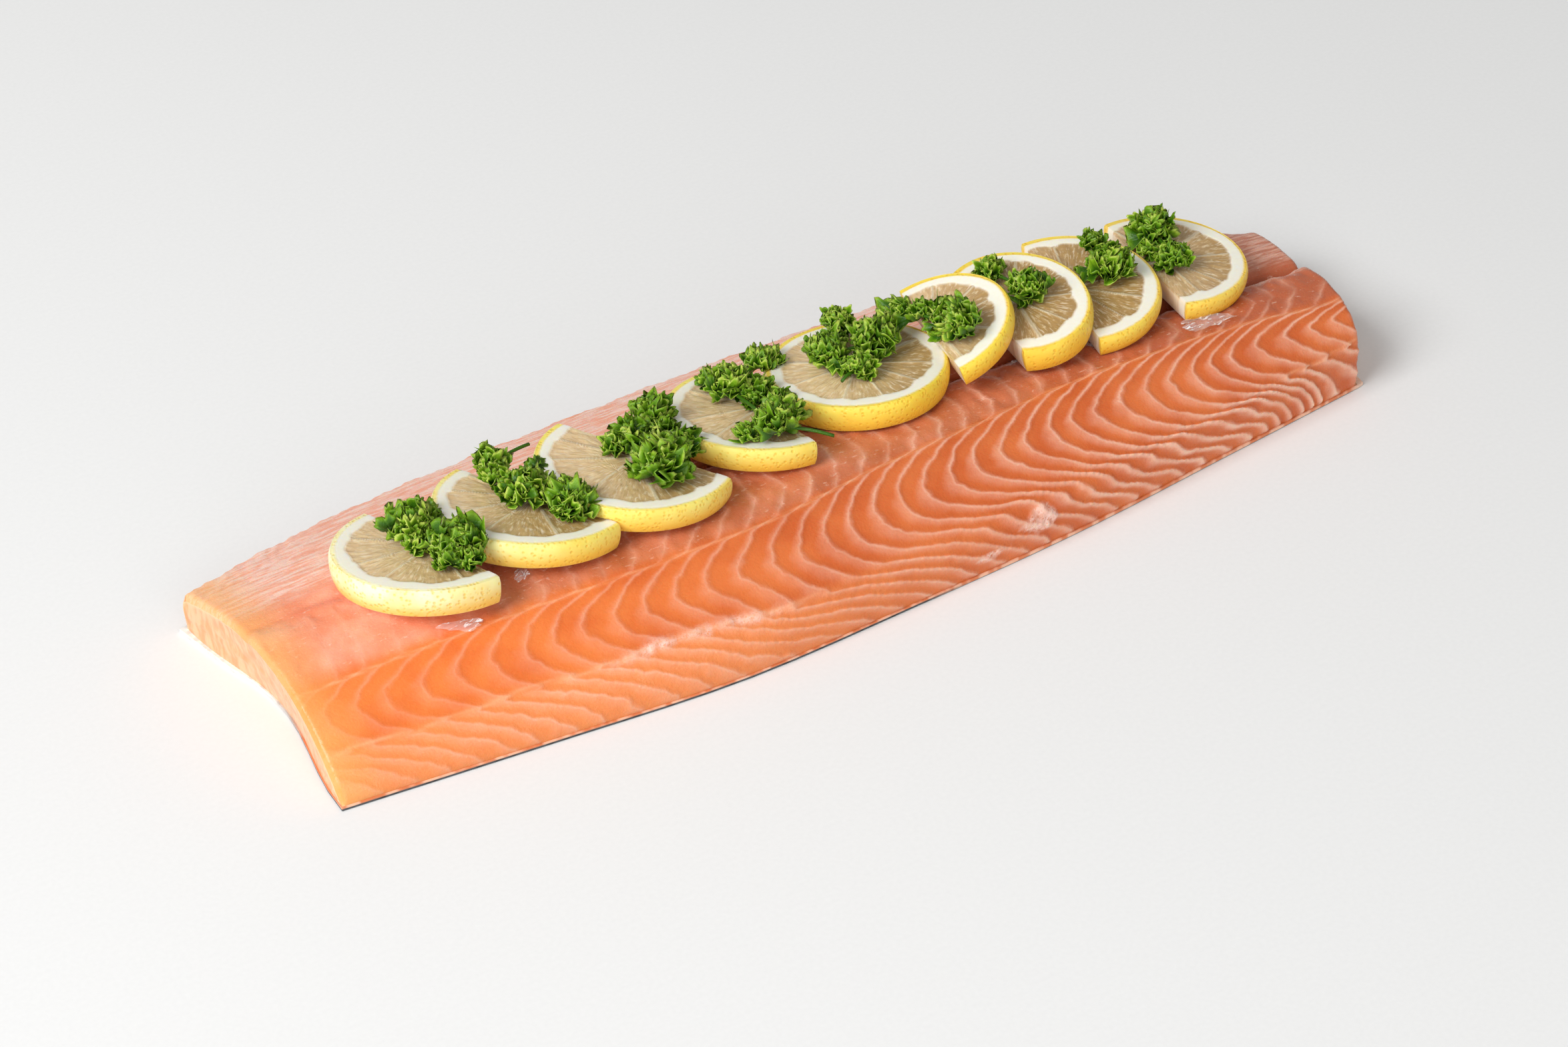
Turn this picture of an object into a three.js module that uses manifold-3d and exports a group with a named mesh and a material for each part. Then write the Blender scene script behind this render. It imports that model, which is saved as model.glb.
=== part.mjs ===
// Raw salmon fillet, skin side down, with lemon slices, curly parsley and scraps of clear film on it.
// Millimetres. X runs along the fillet from the head end to the tail end, Y across it from the
// thick loin edge to the belly edge, and Z up from the surface that the skin rests on.
import * as THREE from 'three';
import { mergeVertices } from 'three/addons/utils/BufferGeometryUtils.js';
import Module from 'manifold-3d';

const wasm = await Module();
wasm.setup();

// Skin and flesh
const SKIN_THICKNESS = 1.0;
const SKIN_MARGIN = 0.5;
const SKIN_SHOW = 0.4;
const SKIN_STEPS = 26;
const HEAD_LIP = { from: 20, to: 44, reach: 1.6 };
const TAIL_TAB = { from: -41, to: -37, reach: 2.2 };

// Outline and height of the fillet, each a smooth curve through [x, value] keys along its length
const LOIN_EDGE = along([[-177, -50.5], [-117, -56.2], [-57, -61.2], [3, -59], [63, -55.2], [123, -48],
  [179, -41]]);
const BELLY_EDGE = along([[-181, 43.5], [-137, 53.5], [-87, 59], [-27, 61.5], [23, 61.5], [73, 59], [123, 52],
  [163, 38], [191, 22]]);
const CREST_LINE = along([[-177, -1], [-117, -14], [-47, -22], [63, -19], [179, -18]]);
const CREST_HEIGHT = along([[-177, 24.5], [-107, 27], [3, 28.5], [93, 28.3], [183, 27.2]]);
const SIDE_ROUNDNESS = along([[-177, 1.5], [-57, 1.75], [63, 1.9], [179, 2.1]]);
const SIDE_STEEPNESS = along([[-177, 1.5], [-57, 2.1], [63, 3.0], [179, 5.0]]);
const GROOVE_LINE = along([[-177, 7], [-87, 5], [63, 1], [183, -5]]);
const LIP_DROP = along([[-177, 1.0], [3, 2.0], [183, 2.6]]);
const BELLY_DROP = along([[-177, 0.6], [3, 1.0], [183, 1.4]]);
const BELLY_EDGE_HEIGHT = along([[-181, 13.4], [-57, 13.5], [63, 15.5], [133, 18], [188, 19.4]]);
const BELLY_BULGE = along([[-181, 0.25], [-57, 0.5], [63, 0.7], [188, 0.8]]);
const LIP_CURVE = 1.6;
const GROOVE_DEPTH = 2.2;
const GROOVE_HALF_WIDTH = 3.0;
const BELLY_UNDERCUT = 1.2;
// Ragged belly edge, as waves of a height, a turn for each millimetre and a start
const RAGGED_WAVES = [[0.54, 0.23, 0], [0.36, 0.61, 1]];

// Cut ends, as straight lines across the fillet
const HEAD_CUT = { x: -177, atY: -50.6, slope: -0.048, hollow: 6.5, hollowTop: 30 };
const TAIL_CUT = { x: 178.8, atY: -41, slope: 0.135 };
const HEAD_CUT_STEPS = 8;
const TRIM_MARGIN = 20;
const TRIM_TOP = 40;

// Flakes: the muscle blocks that follow one another along the loin
const FLAKE_PITCH = along([[-180, 9.3], [180, 6.5]]);
const FLAKE_RELIEF = 0.55;
const FLAKE_FIRST = -225;
const FLAKE_LAST = 215;
const FLAKE_SWEEP_PITCH = 8.5;
const FLAKE_FADE = 25;
// How far a flake's edge runs along the fillet, keyed by the angle up the loin's side
const FLAKE_SWEEP = along([[0, 22], [17, 19], [35, -4], [61, -11], [72, 0], [90, -5]]);
const SIDE_ANGLES = [0, 8, 17, 26, 35, 48, 61, 70, 80, 90];
const TOP_FRACTIONS = [0.45, 0.8];
const GROOVE_OFFSETS = [-1.5, -0.1, 2.4];
const BELLY_FRACTIONS = [0.3, 0.55, 0.78, 0.95];
const EDGE_HEIGHTS = [0.62, 0];

// Lemon slices: centre along and across, half-widths in X and Y, tilt as slopes of the top face, thickness,
// and the ends of the straight cut in degrees round the rim, the rind running from the first to the second.
// A slice lies on the slices numbered in on, sunk into them by so much, and gives way to the one it is beside
const SLICE_GAP = 0.3;
const SLICE_BULGE = 0.7;
const SLICE_ARC_STEPS = 22;
const SLICE_CUT_STEPS = 3;
const SLICE_LEVELS = [[-1, -0.5], [-0.7, 0.7], [-0.25, 1], [0, 0]];
const REST_STEP = 1.5;
const SLICES = [
  { number: 1, x: -120.3, y: 1.3, rx: 29.3, ry: 27.9, slope: [0.10, 0.14], t: 8.5, cut: [108, 283], on: [] },
  { number: 2, x: -87.0, y: 4.0, rx: 28.9, ry: 28.4, slope: [0.14, 0.12], t: 8.0, cut: [113, 299], on: [1] },
  { number: 3, x: -53.7, y: 3.8, rx: 28.8, ry: 29.6, slope: [0.10, 0.06], t: 7.6, cut: [111, 310], on: [2],
    sunk: 4.2, beside: 2 },
  { number: 4, x: -7.9, y: 9.8, rx: 28.5, ry: 28.1, slope: [0.10, 0.12], t: 7.5, cut: [96, 274], on: [3] },
  { number: 9, x: 138.7, y: 10.0, rx: 25.4, ry: 27.1, slope: [0.02, 0.03], t: 6.5, cut: [-111, 96], on: [] },
  { number: 8, x: 104.0, y: 10.7, rx: 26.6, ry: 29.1, slope: [-0.08, 0.02], t: 6.5, cut: [-108, 86], on: [9] },
  { number: 7, x: 82.0, y: 8.5, rx: 21.0, ry: 26.0, slope: [-0.17, 0.02], t: 8.8, cut: [-124, 108], on: [8],
    sunk: 1.8, beside: 8 },
  { number: 6, x: 53.0, y: 9.8, rx: 24.0, ry: 23.3, slope: [-0.34, 0.08], t: 7.0, cut: [-103, 84], on: [7],
    beside: 5 },
  { number: 5, x: 27.5, y: 12.9, rx: 27.0, ry: 27.8, slope: [0, 0.14], t: 8.5, cut: null, on: [4] },
];

// Parsley: a sprig for each slice, its heads placed in that slice's plane as [x, y, radius], and a bare stalk,
// where one shows, running from the head of the given index to [x, y, height]
const SPRIG_CLEARANCE = 0.3;
const LEAF_THICKNESS = 0.9;
const STEM_RADIUS = 0.9;
const STEM_SIDES = 4;
const STEM_LEVEL = 0.2;
const BIG_HEAD = 7;
const BIG_HEAD_LEAFLETS = 4;
const SMALL_HEAD_LEAFLETS = 3;
const HEAD_WAIST = 0.28;
// Tiers of leaflets from the lowest: reach, height of the middle and rise to the margin, in radii of the head
const LEAF_TIERS = [{ reach: 1, level: 0.08, rise: 0.4 }, { reach: 0.74, level: 0.45, rise: 0.5 }];
// Margin of one leaflet from the notch before it, as reach and ruffle
const LEAFLET_MARGIN = [[0.62, -1], [1, 1], [0.96, -0.5]];
const LEAF_RUFFLE = 0.15;
const LEAF_VARIETY = 0.4;
const SPRIGS = [
  { slice: 1, seed: 3, heads: [[-4.6, 4.8, 9.6], [2.1, -13.2, 9.4]] },
  { slice: 2, seed: 5, heads: [[-4.3, -2.2, 9], [-4, 19.3, 6], [4.1, -12.7, 8.4]],
    stalk: [1, [10, 22, 5]] },
  { slice: 3, seed: 7,
    heads: [[0.4, -12.3, 9.6], [12.7, 13.4, 7.2], [-4.5, 5.2, 4], [16.5, -3.6, 4.8]] },
  { slice: 4, seed: 11, heads: [[-5.6, 9.4, 8.4], [11.5, 20.2, 5.6], [-6, -18.3, 8.4]],
    stalk: [2, [6.8, -30.2, 1.6]] },
  { slice: 5, seed: 13,
    heads: [[7.4, 1, 9.6], [5.3, 20.9, 6.8], [-7.9, 5.1, 8], [-4.4, -8, 6]], stalk: [3, [-11.2, -10, 1.6]] },
  { slice: 6, seed: 17, heads: [[4.4, -8.8, 9.2], [-2.9, 13.1, 6.4]] },
  { slice: 7, seed: 19, heads: [[3.3, -3.8, 8.4], [1, 14.9, 5.6]] },
  { slice: 8, seed: 23, heads: [[14.5, -2.5, 8.4], [19.2, 13.2, 4.4]] },
  { slice: 9, seed: 29, heads: [[4.8, 12, 8.4], [0.5, -6.1, 7.6]] },
];

// Film scraps: centre, half-lengths along and across, and turn in degrees
const FILM_THICKNESS = 0.4;
const FILM_LIFT = 0.5;
const FILM_WAVE = 0.7;
const FILM_STEPS = 10;
const FILM_INNER = 0.5;
const FILM_CRINKLES = 5;
const FILMS = [
  { name: 'film_1', x: -126.0, y: -25.5, long: 7.5, wide: 2.4, turn: -22 },
  { name: 'film_2', x: -103.0, y: -17.5, long: 3.2, wide: 2.6, turn: 60 },
  { name: 'film_3', x: 75.5, y: -5.0, long: 4.0, wide: 3.2, turn: 20 },
  { name: 'film_4', x: 134.0, y: -19.5, long: 11, wide: 4.2, turn: -8 },
];

const FINISH = {
  flesh: new THREE.MeshStandardMaterial({ color: 0xe0875a, roughness: 0.38 }),
  skin: new THREE.MeshStandardMaterial({ color: 0x3c3f42, roughness: 0.45 }),
  lemon: new THREE.MeshStandardMaterial({ color: 0xf2cf5c, roughness: 0.4 }),
  parsley: new THREE.MeshStandardMaterial({ color: 0x4f8a2a, roughness: 0.55 }),
  film: new THREE.MeshStandardMaterial({ color: 0xeeeeee, roughness: 0.12, transparent: true, opacity: 0.4 }),
};

const RADIANS = Math.PI / 180;

// Smooth curve through [x, value] keys, level beyond the first and last
function along(keys) {
  const slopes = keys.map((key, i) => {
    const before = keys[Math.max(i - 1, 0)];
    const after = keys[Math.min(i + 1, keys.length - 1)];
    return (after[1] - before[1]) / (after[0] - before[0]);
  });
  return (x) => {
    if (x <= keys[0][0]) return keys[0][1];
    const i = keys.findIndex((key) => key[0] >= x) - 1;
    if (i < 0) return keys[keys.length - 1][1];
    const span = keys[i + 1][0] - keys[i][0];
    const t = (x - keys[i][0]) / span;
    const start = (2 * t ** 3 - 3 * t ** 2 + 1) * keys[i][1] + (t ** 3 - 2 * t ** 2 + t) * span * slopes[i];
    const end = (3 * t ** 2 - 2 * t ** 3) * keys[i + 1][1] + (t ** 3 - t ** 2) * span * slopes[i + 1];
    return start + end;
  };
}

// Repeatable random numbers from 0 to 1
function seededRandom(seed) {
  let state = seed * 7919 + 13;
  return () => {
    state = (state * 16807) % 2147483647;
    return state / 2147483647;
  };
}

// Closed geometry from points and triangles, turned inside out where its volume comes out negative
function closedGeometry(points, triangles) {
  let volume = 0;
  for (let i = 0; i < triangles.length; i += 3) {
    const [a, b, c] = [points[triangles[i]], points[triangles[i + 1]], points[triangles[i + 2]]];
    volume += a.dot(b.clone().cross(c));
  }
  const order = volume < 0 ? [...triangles].reverse() : triangles;
  const geometry = new THREE.BufferGeometry();
  const places = points.flatMap((p) => [p.x, p.y, p.z]);
  geometry.setAttribute('position', new THREE.Float32BufferAttribute(places, 3));
  geometry.setIndex(order);
  return geometry;
}

// Solid for joining and cutting, from a closed geometry
function solidOf(geometry) {
  const bare = geometry.clone();
  bare.deleteAttribute('normal');
  bare.deleteAttribute('uv');
  const merged = mergeVertices(bare);
  return new wasm.Manifold(new wasm.Mesh({
    numProp: 3,
    vertProperties: new Float32Array(merged.attributes.position.array),
    triVerts: new Uint32Array(merged.index.array),
  }));
}

// Geometry of a solid's largest piece
function geometryOf(solid) {
  const pieces = solid.decompose().sort((a, b) => b.volume() - a.volume());
  const mesh = pieces[0].getMesh();
  const geometry = new THREE.BufferGeometry();
  geometry.setAttribute('position', new THREE.Float32BufferAttribute(mesh.vertProperties, 3));
  geometry.setIndex(Array.from(mesh.triVerts));
  return geometry;
}

// Triangles between neighbouring rings of points, with the other diagonal in the bands that are crossed
function ringTriangles(rings, count, crossed) {
  const triangles = [];
  for (let i = 0; i + 1 < rings; i++) {
    for (let j = 0; j < count; j++) {
      const k = (j + 1) % count;
      const [a, b, c, d] = [i * count + j, (i + 1) * count + j, (i + 1) * count + k, i * count + k];
      triangles.push(...(crossed(i) ? [a, b, d, b, c, d] : [a, b, c, a, c, d]));
    }
  }
  return triangles;
}

// Closed body through a run of rings of points, each end filled from the middle of its ring
function loftedBody(rings, crossed = () => false) {
  const count = rings[0].length;
  const points = rings.flat();
  const triangles = ringTriangles(rings.length, count, crossed);
  [0, rings.length - 1].forEach((i) => {
    const middle = rings[i].reduce((sum, p) => sum.add(p), new THREE.Vector3()).divideScalar(count);
    const hub = points.push(middle) - 1;
    for (let j = 0; j < count; j++) {
      const pair = [i * count + j, i * count + ((j + 1) % count)];
      triangles.push(hub, ...(i === 0 ? pair : pair.reverse()));
    }
  });
  return closedGeometry(points, triangles);
}

// Rings of a thin sheet: out from an inner ring to its margin, and back in above them
function sheetRings(inner, margin, thickness) {
  const raised = (ring) => ring.map((p) => p.clone().setZ(p.z + thickness));
  return [inner, margin, raised(margin), raised(inner)];
}

// Body of thin sheets one above another, the two faces of each split alike
function sheetBody(sheets) {
  return loftedBody(sheets.flat(), (band) => band % 4 === 2);
}

// Height of the fillet's upper surface between its crest and its belly edge
function bellySideHeight(x, y) {
  const crest = CREST_LINE(x);
  const groove = GROOVE_LINE(x);
  const lip = CREST_HEIGHT(x) - LIP_DROP(x);
  let height;
  if (y < groove) {
    const t = THREE.MathUtils.clamp((y - crest) / (groove - crest), 0, 1);
    height = CREST_HEIGHT(x) - LIP_DROP(x) * t ** LIP_CURVE;
  } else {
    const u = THREE.MathUtils.clamp((y - groove) / (BELLY_EDGE(x) - groove), 0, 1);
    const start = lip - BELLY_DROP(x);
    const bulge = BELLY_BULGE(x);
    height = start + (BELLY_EDGE_HEIGHT(x) - start) * ((1 - bulge) * u + bulge * u ** 3);
  }
  return height - GROOVE_DEPTH * Math.exp(-(((y - groove) / GROOVE_HALF_WIDTH) ** 2));
}

// Height of the fillet anywhere on its upper surface
function filletHeight(x, y) {
  const crest = CREST_LINE(x);
  const edge = LOIN_EDGE(x);
  if (y >= crest) return y > BELLY_EDGE(x) ? SKIN_THICKNESS : bellySideHeight(x, y);
  const across = Math.min((crest - y) / (crest - edge), 1);
  return CREST_HEIGHT(x) * (1 - across ** SIDE_ROUNDNESS(x)) ** (1 / SIDE_STEEPNESS(x));
}

// Point of the loin's rounded side at an angle from its foot, 0, to its crest, 90
function sidePoint(x, angle, relief) {
  const cosine = Math.max(Math.cos(angle * RADIANS), 0);
  const sine = Math.sin(angle * RADIANS);
  const crest = CREST_LINE(x);
  const y = crest - (crest - LOIN_EDGE(x)) * cosine ** (2 / SIDE_ROUNDNESS(x));
  const rise = (CREST_HEIGHT(x) - SKIN_THICKNESS) * sine ** (2 / SIDE_STEEPNESS(x));
  return new THREE.Vector3(x, y + relief * cosine, SKIN_THICKNESS + rise - relief * sine);
}

// Ragged outline of the belly edge
function raggedBellyEdge(x) {
  return RAGGED_WAVES.reduce((y, [high, turn, start]) => y + high * Math.sin(turn * x + start), BELLY_EDGE(x));
}

// One flake edge or flake middle, from the loin's foot over the top to the belly's foot
function flakeColumn(start, sunk) {
  const scale = FLAKE_PITCH(start) / FLAKE_SWEEP_PITCH;
  const points = SIDE_ANGLES.map((angle) => {
    const x = start + scale * FLAKE_SWEEP(angle);
    const strength = angle > 0 && angle < 90 ? Math.min(1, (90 - angle) / FLAKE_FADE) : 0;
    return sidePoint(x, angle, sunk * FLAKE_RELIEF * strength);
  });
  const x = start + scale * FLAKE_SWEEP(90);
  const crest = CREST_LINE(x);
  const groove = GROOVE_LINE(x);
  const edge = raggedBellyEdge(x);
  const stops = TOP_FRACTIONS.map((f) => crest + f * (groove - crest));
  stops.push(...GROOVE_OFFSETS.map((offset) => groove + offset));
  stops.push(...BELLY_FRACTIONS.map((f) => groove + f * (edge - groove)));
  points.push(...stops.map((y) => new THREE.Vector3(x, y, bellySideHeight(x, y))));
  EDGE_HEIGHTS.forEach((part) => {
    const height = SKIN_THICKNESS + part * (BELLY_EDGE_HEIGHT(x) - SKIN_THICKNESS);
    points.push(new THREE.Vector3(x, edge - (part > 0 ? 0 : BELLY_UNDERCUT), height));
  });
  return points;
}

// The whole flesh before its ends are cut: flake columns joined into one closed body
function longFlesh() {
  const columns = [];
  let sunk = 0;
  for (let start = FLAKE_FIRST; start < FLAKE_LAST; start += FLAKE_PITCH(start) / 2) {
    columns.push(flakeColumn(start, sunk));
    sunk = 1 - sunk;
  }
  return loftedBody(columns);
}

function headCutX(y, hollow) {
  const across = THREE.MathUtils.clamp((y - HEAD_CUT.atY) / (BELLY_EDGE(HEAD_CUT.x) - HEAD_CUT.atY), 0, 1);
  return HEAD_CUT.x + HEAD_CUT.slope * (y - HEAD_CUT.atY) + hollow * Math.sin(Math.PI * across) ** 2;
}

function tailCutX(y) {
  return TAIL_CUT.x + TAIL_CUT.slope * (y - TAIL_CUT.atY);
}

// Block that keeps what lies between the two cut ends, the head end's face hollowed towards its foot
function trimBlock() {
  const low = LOIN_EDGE(0) - TRIM_MARGIN;
  const high = BELLY_EDGE(0) + TRIM_MARGIN;
  const floor = SKIN_THICKNESS - TRIM_MARGIN;
  const outline = (z, hollow) => {
    const points = [new THREE.Vector3(tailCutX(low), low, z), new THREE.Vector3(tailCutX(high), high, z)];
    for (let k = 0; k <= HEAD_CUT_STEPS; k++) {
      const y = THREE.MathUtils.lerp(BELLY_EDGE(HEAD_CUT.x), HEAD_CUT.atY, k / HEAD_CUT_STEPS);
      if (k === 0) points.push(new THREE.Vector3(headCutX(high, 0), high, z));
      points.push(new THREE.Vector3(headCutX(y, hollow), y, z));
      if (k === HEAD_CUT_STEPS) points.push(new THREE.Vector3(headCutX(low, 0), low, z));
    }
    return points;
  };
  const hollowAt = (z) => HEAD_CUT.hollow * (HEAD_CUT.hollowTop - z) / (HEAD_CUT.hollowTop - SKIN_THICKNESS);
  return loftedBody([floor, TRIM_TOP].map((z) => outline(z, hollowAt(z))));
}

// Skin sheet under the flesh, with a lip past the head cut and a tab past the tail cut
function skinGeometry() {
  const outline = new THREE.Shape();
  const headX = (y) => headCutX(y, HEAD_CUT.hollow) - SKIN_SHOW;
  const start = headX(HEAD_CUT.atY);
  outline.moveTo(start, LOIN_EDGE(start) - SKIN_MARGIN);
  for (let k = 1; k <= SKIN_STEPS; k++) {
    const x = THREE.MathUtils.lerp(start, tailCutX(TAIL_CUT.atY), k / SKIN_STEPS);
    outline.lineTo(x, LOIN_EDGE(x) - SKIN_MARGIN);
  }
  outline.lineTo(tailCutX(TAIL_TAB.from) + TAIL_TAB.reach, TAIL_TAB.from);
  outline.lineTo(tailCutX(TAIL_TAB.to) + TAIL_TAB.reach, TAIL_TAB.to);
  outline.lineTo(tailCutX(TAIL_TAB.to), TAIL_TAB.to + TAIL_TAB.reach / 2);
  const tailFar = tailCutX(BELLY_EDGE(TAIL_CUT.x));
  for (let k = 0; k < SKIN_STEPS; k++) {
    const x = THREE.MathUtils.lerp(tailFar, HEAD_CUT.x, k / SKIN_STEPS);
    outline.lineTo(x, BELLY_EDGE(x) - SKIN_MARGIN);
  }
  outline.lineTo(headX(HEAD_LIP.to) - HEAD_LIP.reach, HEAD_LIP.to);
  outline.lineTo(headX(HEAD_LIP.from) - HEAD_LIP.reach / 2, HEAD_LIP.from);
  for (let k = 1; k < HEAD_CUT_STEPS; k++) {
    const y = THREE.MathUtils.lerp(HEAD_LIP.from, HEAD_CUT.atY, k / HEAD_CUT_STEPS);
    outline.lineTo(headX(y), y);
  }
  outline.closePath();
  return new THREE.ExtrudeGeometry(outline, { depth: SKIN_THICKNESS, bevelEnabled: false });
}

function sliceNumbered(number) {
  return SLICES.find((slice) => slice.number === number);
}

// Rim of a slice in its own plane: an elliptical arc and, on a cut slice, the straight cut
function sliceRim(slice, grow) {
  const point = (degrees) => new THREE.Vector2(
    (slice.rx + grow) * Math.cos(degrees * RADIANS), (slice.ry + grow) * Math.sin(degrees * RADIANS));
  const [from, to] = slice.cut ?? [0, 360 * (1 - 1 / SLICE_ARC_STEPS)];
  const rim = [];
  for (let k = 0; k <= SLICE_ARC_STEPS; k++) rim.push(point(from + (to - from) * k / SLICE_ARC_STEPS));
  if (!slice.cut) return rim;
  const first = rim[0];
  const last = rim[rim.length - 1];
  for (let k = 1; k < SLICE_CUT_STEPS; k++) rim.push(last.clone().lerp(first, k / SLICE_CUT_STEPS));
  return rim;
}

// Slice about its top face's centre, its rind a little fuller at half thickness
function sliceGeometry(slice, grow = 0) {
  const centre = sliceRim(slice, 0).reduce((sum, p) => sum.add(p), new THREE.Vector2());
  centre.divideScalar(sliceRim(slice, 0).length);
  const levels = SLICE_LEVELS.map(([part, fullness]) => {
    const z = part * slice.t + (part === 0 ? grow : 0) - (part === -1 ? grow : 0);
    return sliceRim(slice, fullness * SLICE_BULGE + grow).map((p) => new THREE.Vector3(p.x, p.y, z));
  });
  if (grow > 0) {
    levels.flat().forEach((p) => {
      const reach = Math.hypot(p.x - centre.x, p.y - centre.y);
      p.x += grow * (p.x - centre.x) / reach;
      p.y += grow * (p.y - centre.y) / reach;
    });
  }
  return loftedBody(levels);
}

// Slice whose hidden edge gives way to the slice pressed against it
function pressedSlice(slice) {
  const other = sliceNumbered(slice.beside);
  const shift = slice.placing.clone().invert().multiply(other.placing);
  const room = solidOf(sliceGeometry(other, SLICE_GAP).applyMatrix4(shift));
  return geometryOf(solidOf(sliceGeometry(slice)).subtract(room));
}

// Whether a point, measured from the slice's centre in plan, lies within its rim
function withinSlice(slice, dx, dy, grow) {
  if ((dx / (slice.rx + grow)) ** 2 + (dy / (slice.ry + grow)) ** 2 > 1) return false;
  if (!slice.cut) return true;
  const ends = slice.cut.map((d) => [slice.rx * Math.cos(d * RADIANS), slice.ry * Math.sin(d * RADIANS)]);
  const side = (ends[1][0] - ends[0][0]) * (dy - ends[0][1]) - (ends[1][1] - ends[0][1]) * (dx - ends[0][0]);
  return side / Math.hypot(ends[1][0] - ends[0][0], ends[1][1] - ends[0][1]) < grow;
}

function sliceTop(slice, x, y) {
  return slice.z - slice.slope[0] * (x - slice.x) - slice.slope[1] * (y - slice.y);
}

// Height of a slice's top face where its underside just clears the flesh and the slices it lies on
function restHeight(slice) {
  const drop = slice.t * Math.hypot(1, ...slice.slope);
  let height = 0;
  for (let dx = -slice.rx; dx <= slice.rx; dx += REST_STEP) {
    for (let dy = -slice.ry; dy <= slice.ry; dy += REST_STEP) {
      if (!withinSlice(slice, dx, dy, SLICE_BULGE)) continue;
      let support = filletHeight(slice.x + dx, slice.y + dy);
      slice.on.map(sliceNumbered).forEach((lower) => {
        if (withinSlice(lower, slice.x + dx - lower.x, slice.y + dy - lower.y, 2 * SLICE_BULGE)) {
          support = Math.max(support, sliceTop(lower, slice.x + dx, slice.y + dy) - (slice.sunk ?? 0));
        }
      });
      height = Math.max(height, support + drop + slice.slope[0] * dx + slice.slope[1] * dy + SLICE_GAP);
    }
  }
  return height;
}

function placeOnSlice(object, slice) {
  const normal = new THREE.Vector3(slice.slope[0], slice.slope[1], 1).normalize();
  object.position.set(slice.x, slice.y, slice.z);
  object.quaternion.setFromUnitVectors(new THREE.Vector3(0, 0, 1), normal);
  object.updateMatrix();
  return object;
}

// Head of curly parsley: tiers of leaflets round its middle, notched between them and ruffled at the margin
function headGeometry([x, y, radius], random) {
  const leaflets = radius > BIG_HEAD ? BIG_HEAD_LEAFLETS : SMALL_HEAD_LEAFLETS;
  const steps = leaflets * LEAFLET_MARGIN.length;
  const turn = random() * 2 * Math.PI;
  const ring = (tierTurn, place) => Array.from({ length: steps }, (unused, k) => {
    const angle = turn + tierTurn + (2 * Math.PI * k) / steps;
    const [reach, height] = place(k);
    return new THREE.Vector3(x + radius * reach * Math.cos(angle), y + radius * reach * Math.sin(angle),
      SPRIG_CLEARANCE + radius * height);
  });
  return sheetBody(LEAF_TIERS.map((tier, n) => {
    const lifts = Array.from({ length: leaflets }, () => 1 - LEAF_VARIETY * random());
    const tierTurn = (n * Math.PI) / leaflets;
    const inner = ring(tierTurn, () => [HEAD_WAIST, tier.level]);
    const margin = ring(tierTurn, (k) => {
      const [reach, ruffle] = LEAFLET_MARGIN[k % LEAFLET_MARGIN.length];
      const lift = tier.rise * lifts[Math.floor(k / LEAFLET_MARGIN.length)];
      return [tier.reach * reach, tier.level + lift + LEAF_RUFFLE * tier.reach * ruffle];
    });
    return sheetRings(inner, margin, LEAF_THICKNESS);
  }));
}

// Tube between two points, as a stem with flat ends
function stemGeometry(from, to) {
  const shape = new THREE.Shape();
  for (let k = 0; k < STEM_SIDES; k++) {
    const angle = (2 * Math.PI * k) / STEM_SIDES;
    const corner = [STEM_RADIUS * Math.cos(angle), STEM_RADIUS * Math.sin(angle)];
    if (k === 0) shape.moveTo(...corner);
    else shape.lineTo(...corner);
  }
  shape.closePath();
  return new THREE.ExtrudeGeometry(shape, { steps: 1, extrudePath: new THREE.LineCurve3(from, to) });
}

// Sprig, built in its slice's plane and moved there: heads of leaflets, stems from the first to the others
function sprigSolid(sprig, placing) {
  const random = seededRandom(sprig.seed);
  const foot = ([x, y, radius]) => new THREE.Vector3(
    x, y, SPRIG_CLEARANCE + STEM_RADIUS + STEM_LEVEL * radius);
  const pieces = sprig.heads.map((head) => headGeometry(head, random));
  const [first, ...others] = sprig.heads;
  others.forEach((head) => pieces.push(stemGeometry(foot(first), foot(head))));
  if (sprig.stalk) {
    const [from, end] = sprig.stalk;
    pieces.push(stemGeometry(foot(sprig.heads[from]), new THREE.Vector3(...end)));
  }
  return pieces.map((piece) => solidOf(piece.applyMatrix4(placing))).reduce((sum, piece) => sum.add(piece));
}

// Scrap of film lying on the flesh, crinkled round its margin
function filmGeometry(film) {
  const cosine = Math.cos(film.turn * RADIANS);
  const sine = Math.sin(film.turn * RADIANS);
  const pointAt = (part, angle) => {
    const u = film.long * part * Math.cos(angle);
    const v = film.wide * part * Math.sin(angle);
    const x = film.x + u * cosine - v * sine;
    const y = film.y + u * sine + v * cosine;
    const wave = FILM_WAVE * part * (1 + Math.sin(FILM_CRINKLES * angle)) / 2;
    return new THREE.Vector3(x, y, filletHeight(x, y) + FILM_LIFT + wave);
  };
  const angles = Array.from({ length: FILM_STEPS }, (unused, k) => (2 * Math.PI * k) / FILM_STEPS);
  const [inner, margin] = [FILM_INNER, 1].map((part) => angles.map((angle) => pointAt(part, angle)));
  return sheetBody([sheetRings(inner, margin, FILM_THICKNESS)]);
}

function namedMesh(name, geometry, material) {
  const mesh = new THREE.Mesh(geometry, material);
  mesh.name = name;
  return mesh;
}

const fillet = new THREE.Group();

// Flesh and skin
const flesh = solidOf(longFlesh()).intersect(solidOf(trimBlock()));
fillet.add(namedMesh('fillet', geometryOf(flesh), FINISH.flesh));
fillet.add(namedMesh('skin', skinGeometry(), FINISH.skin));

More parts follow.
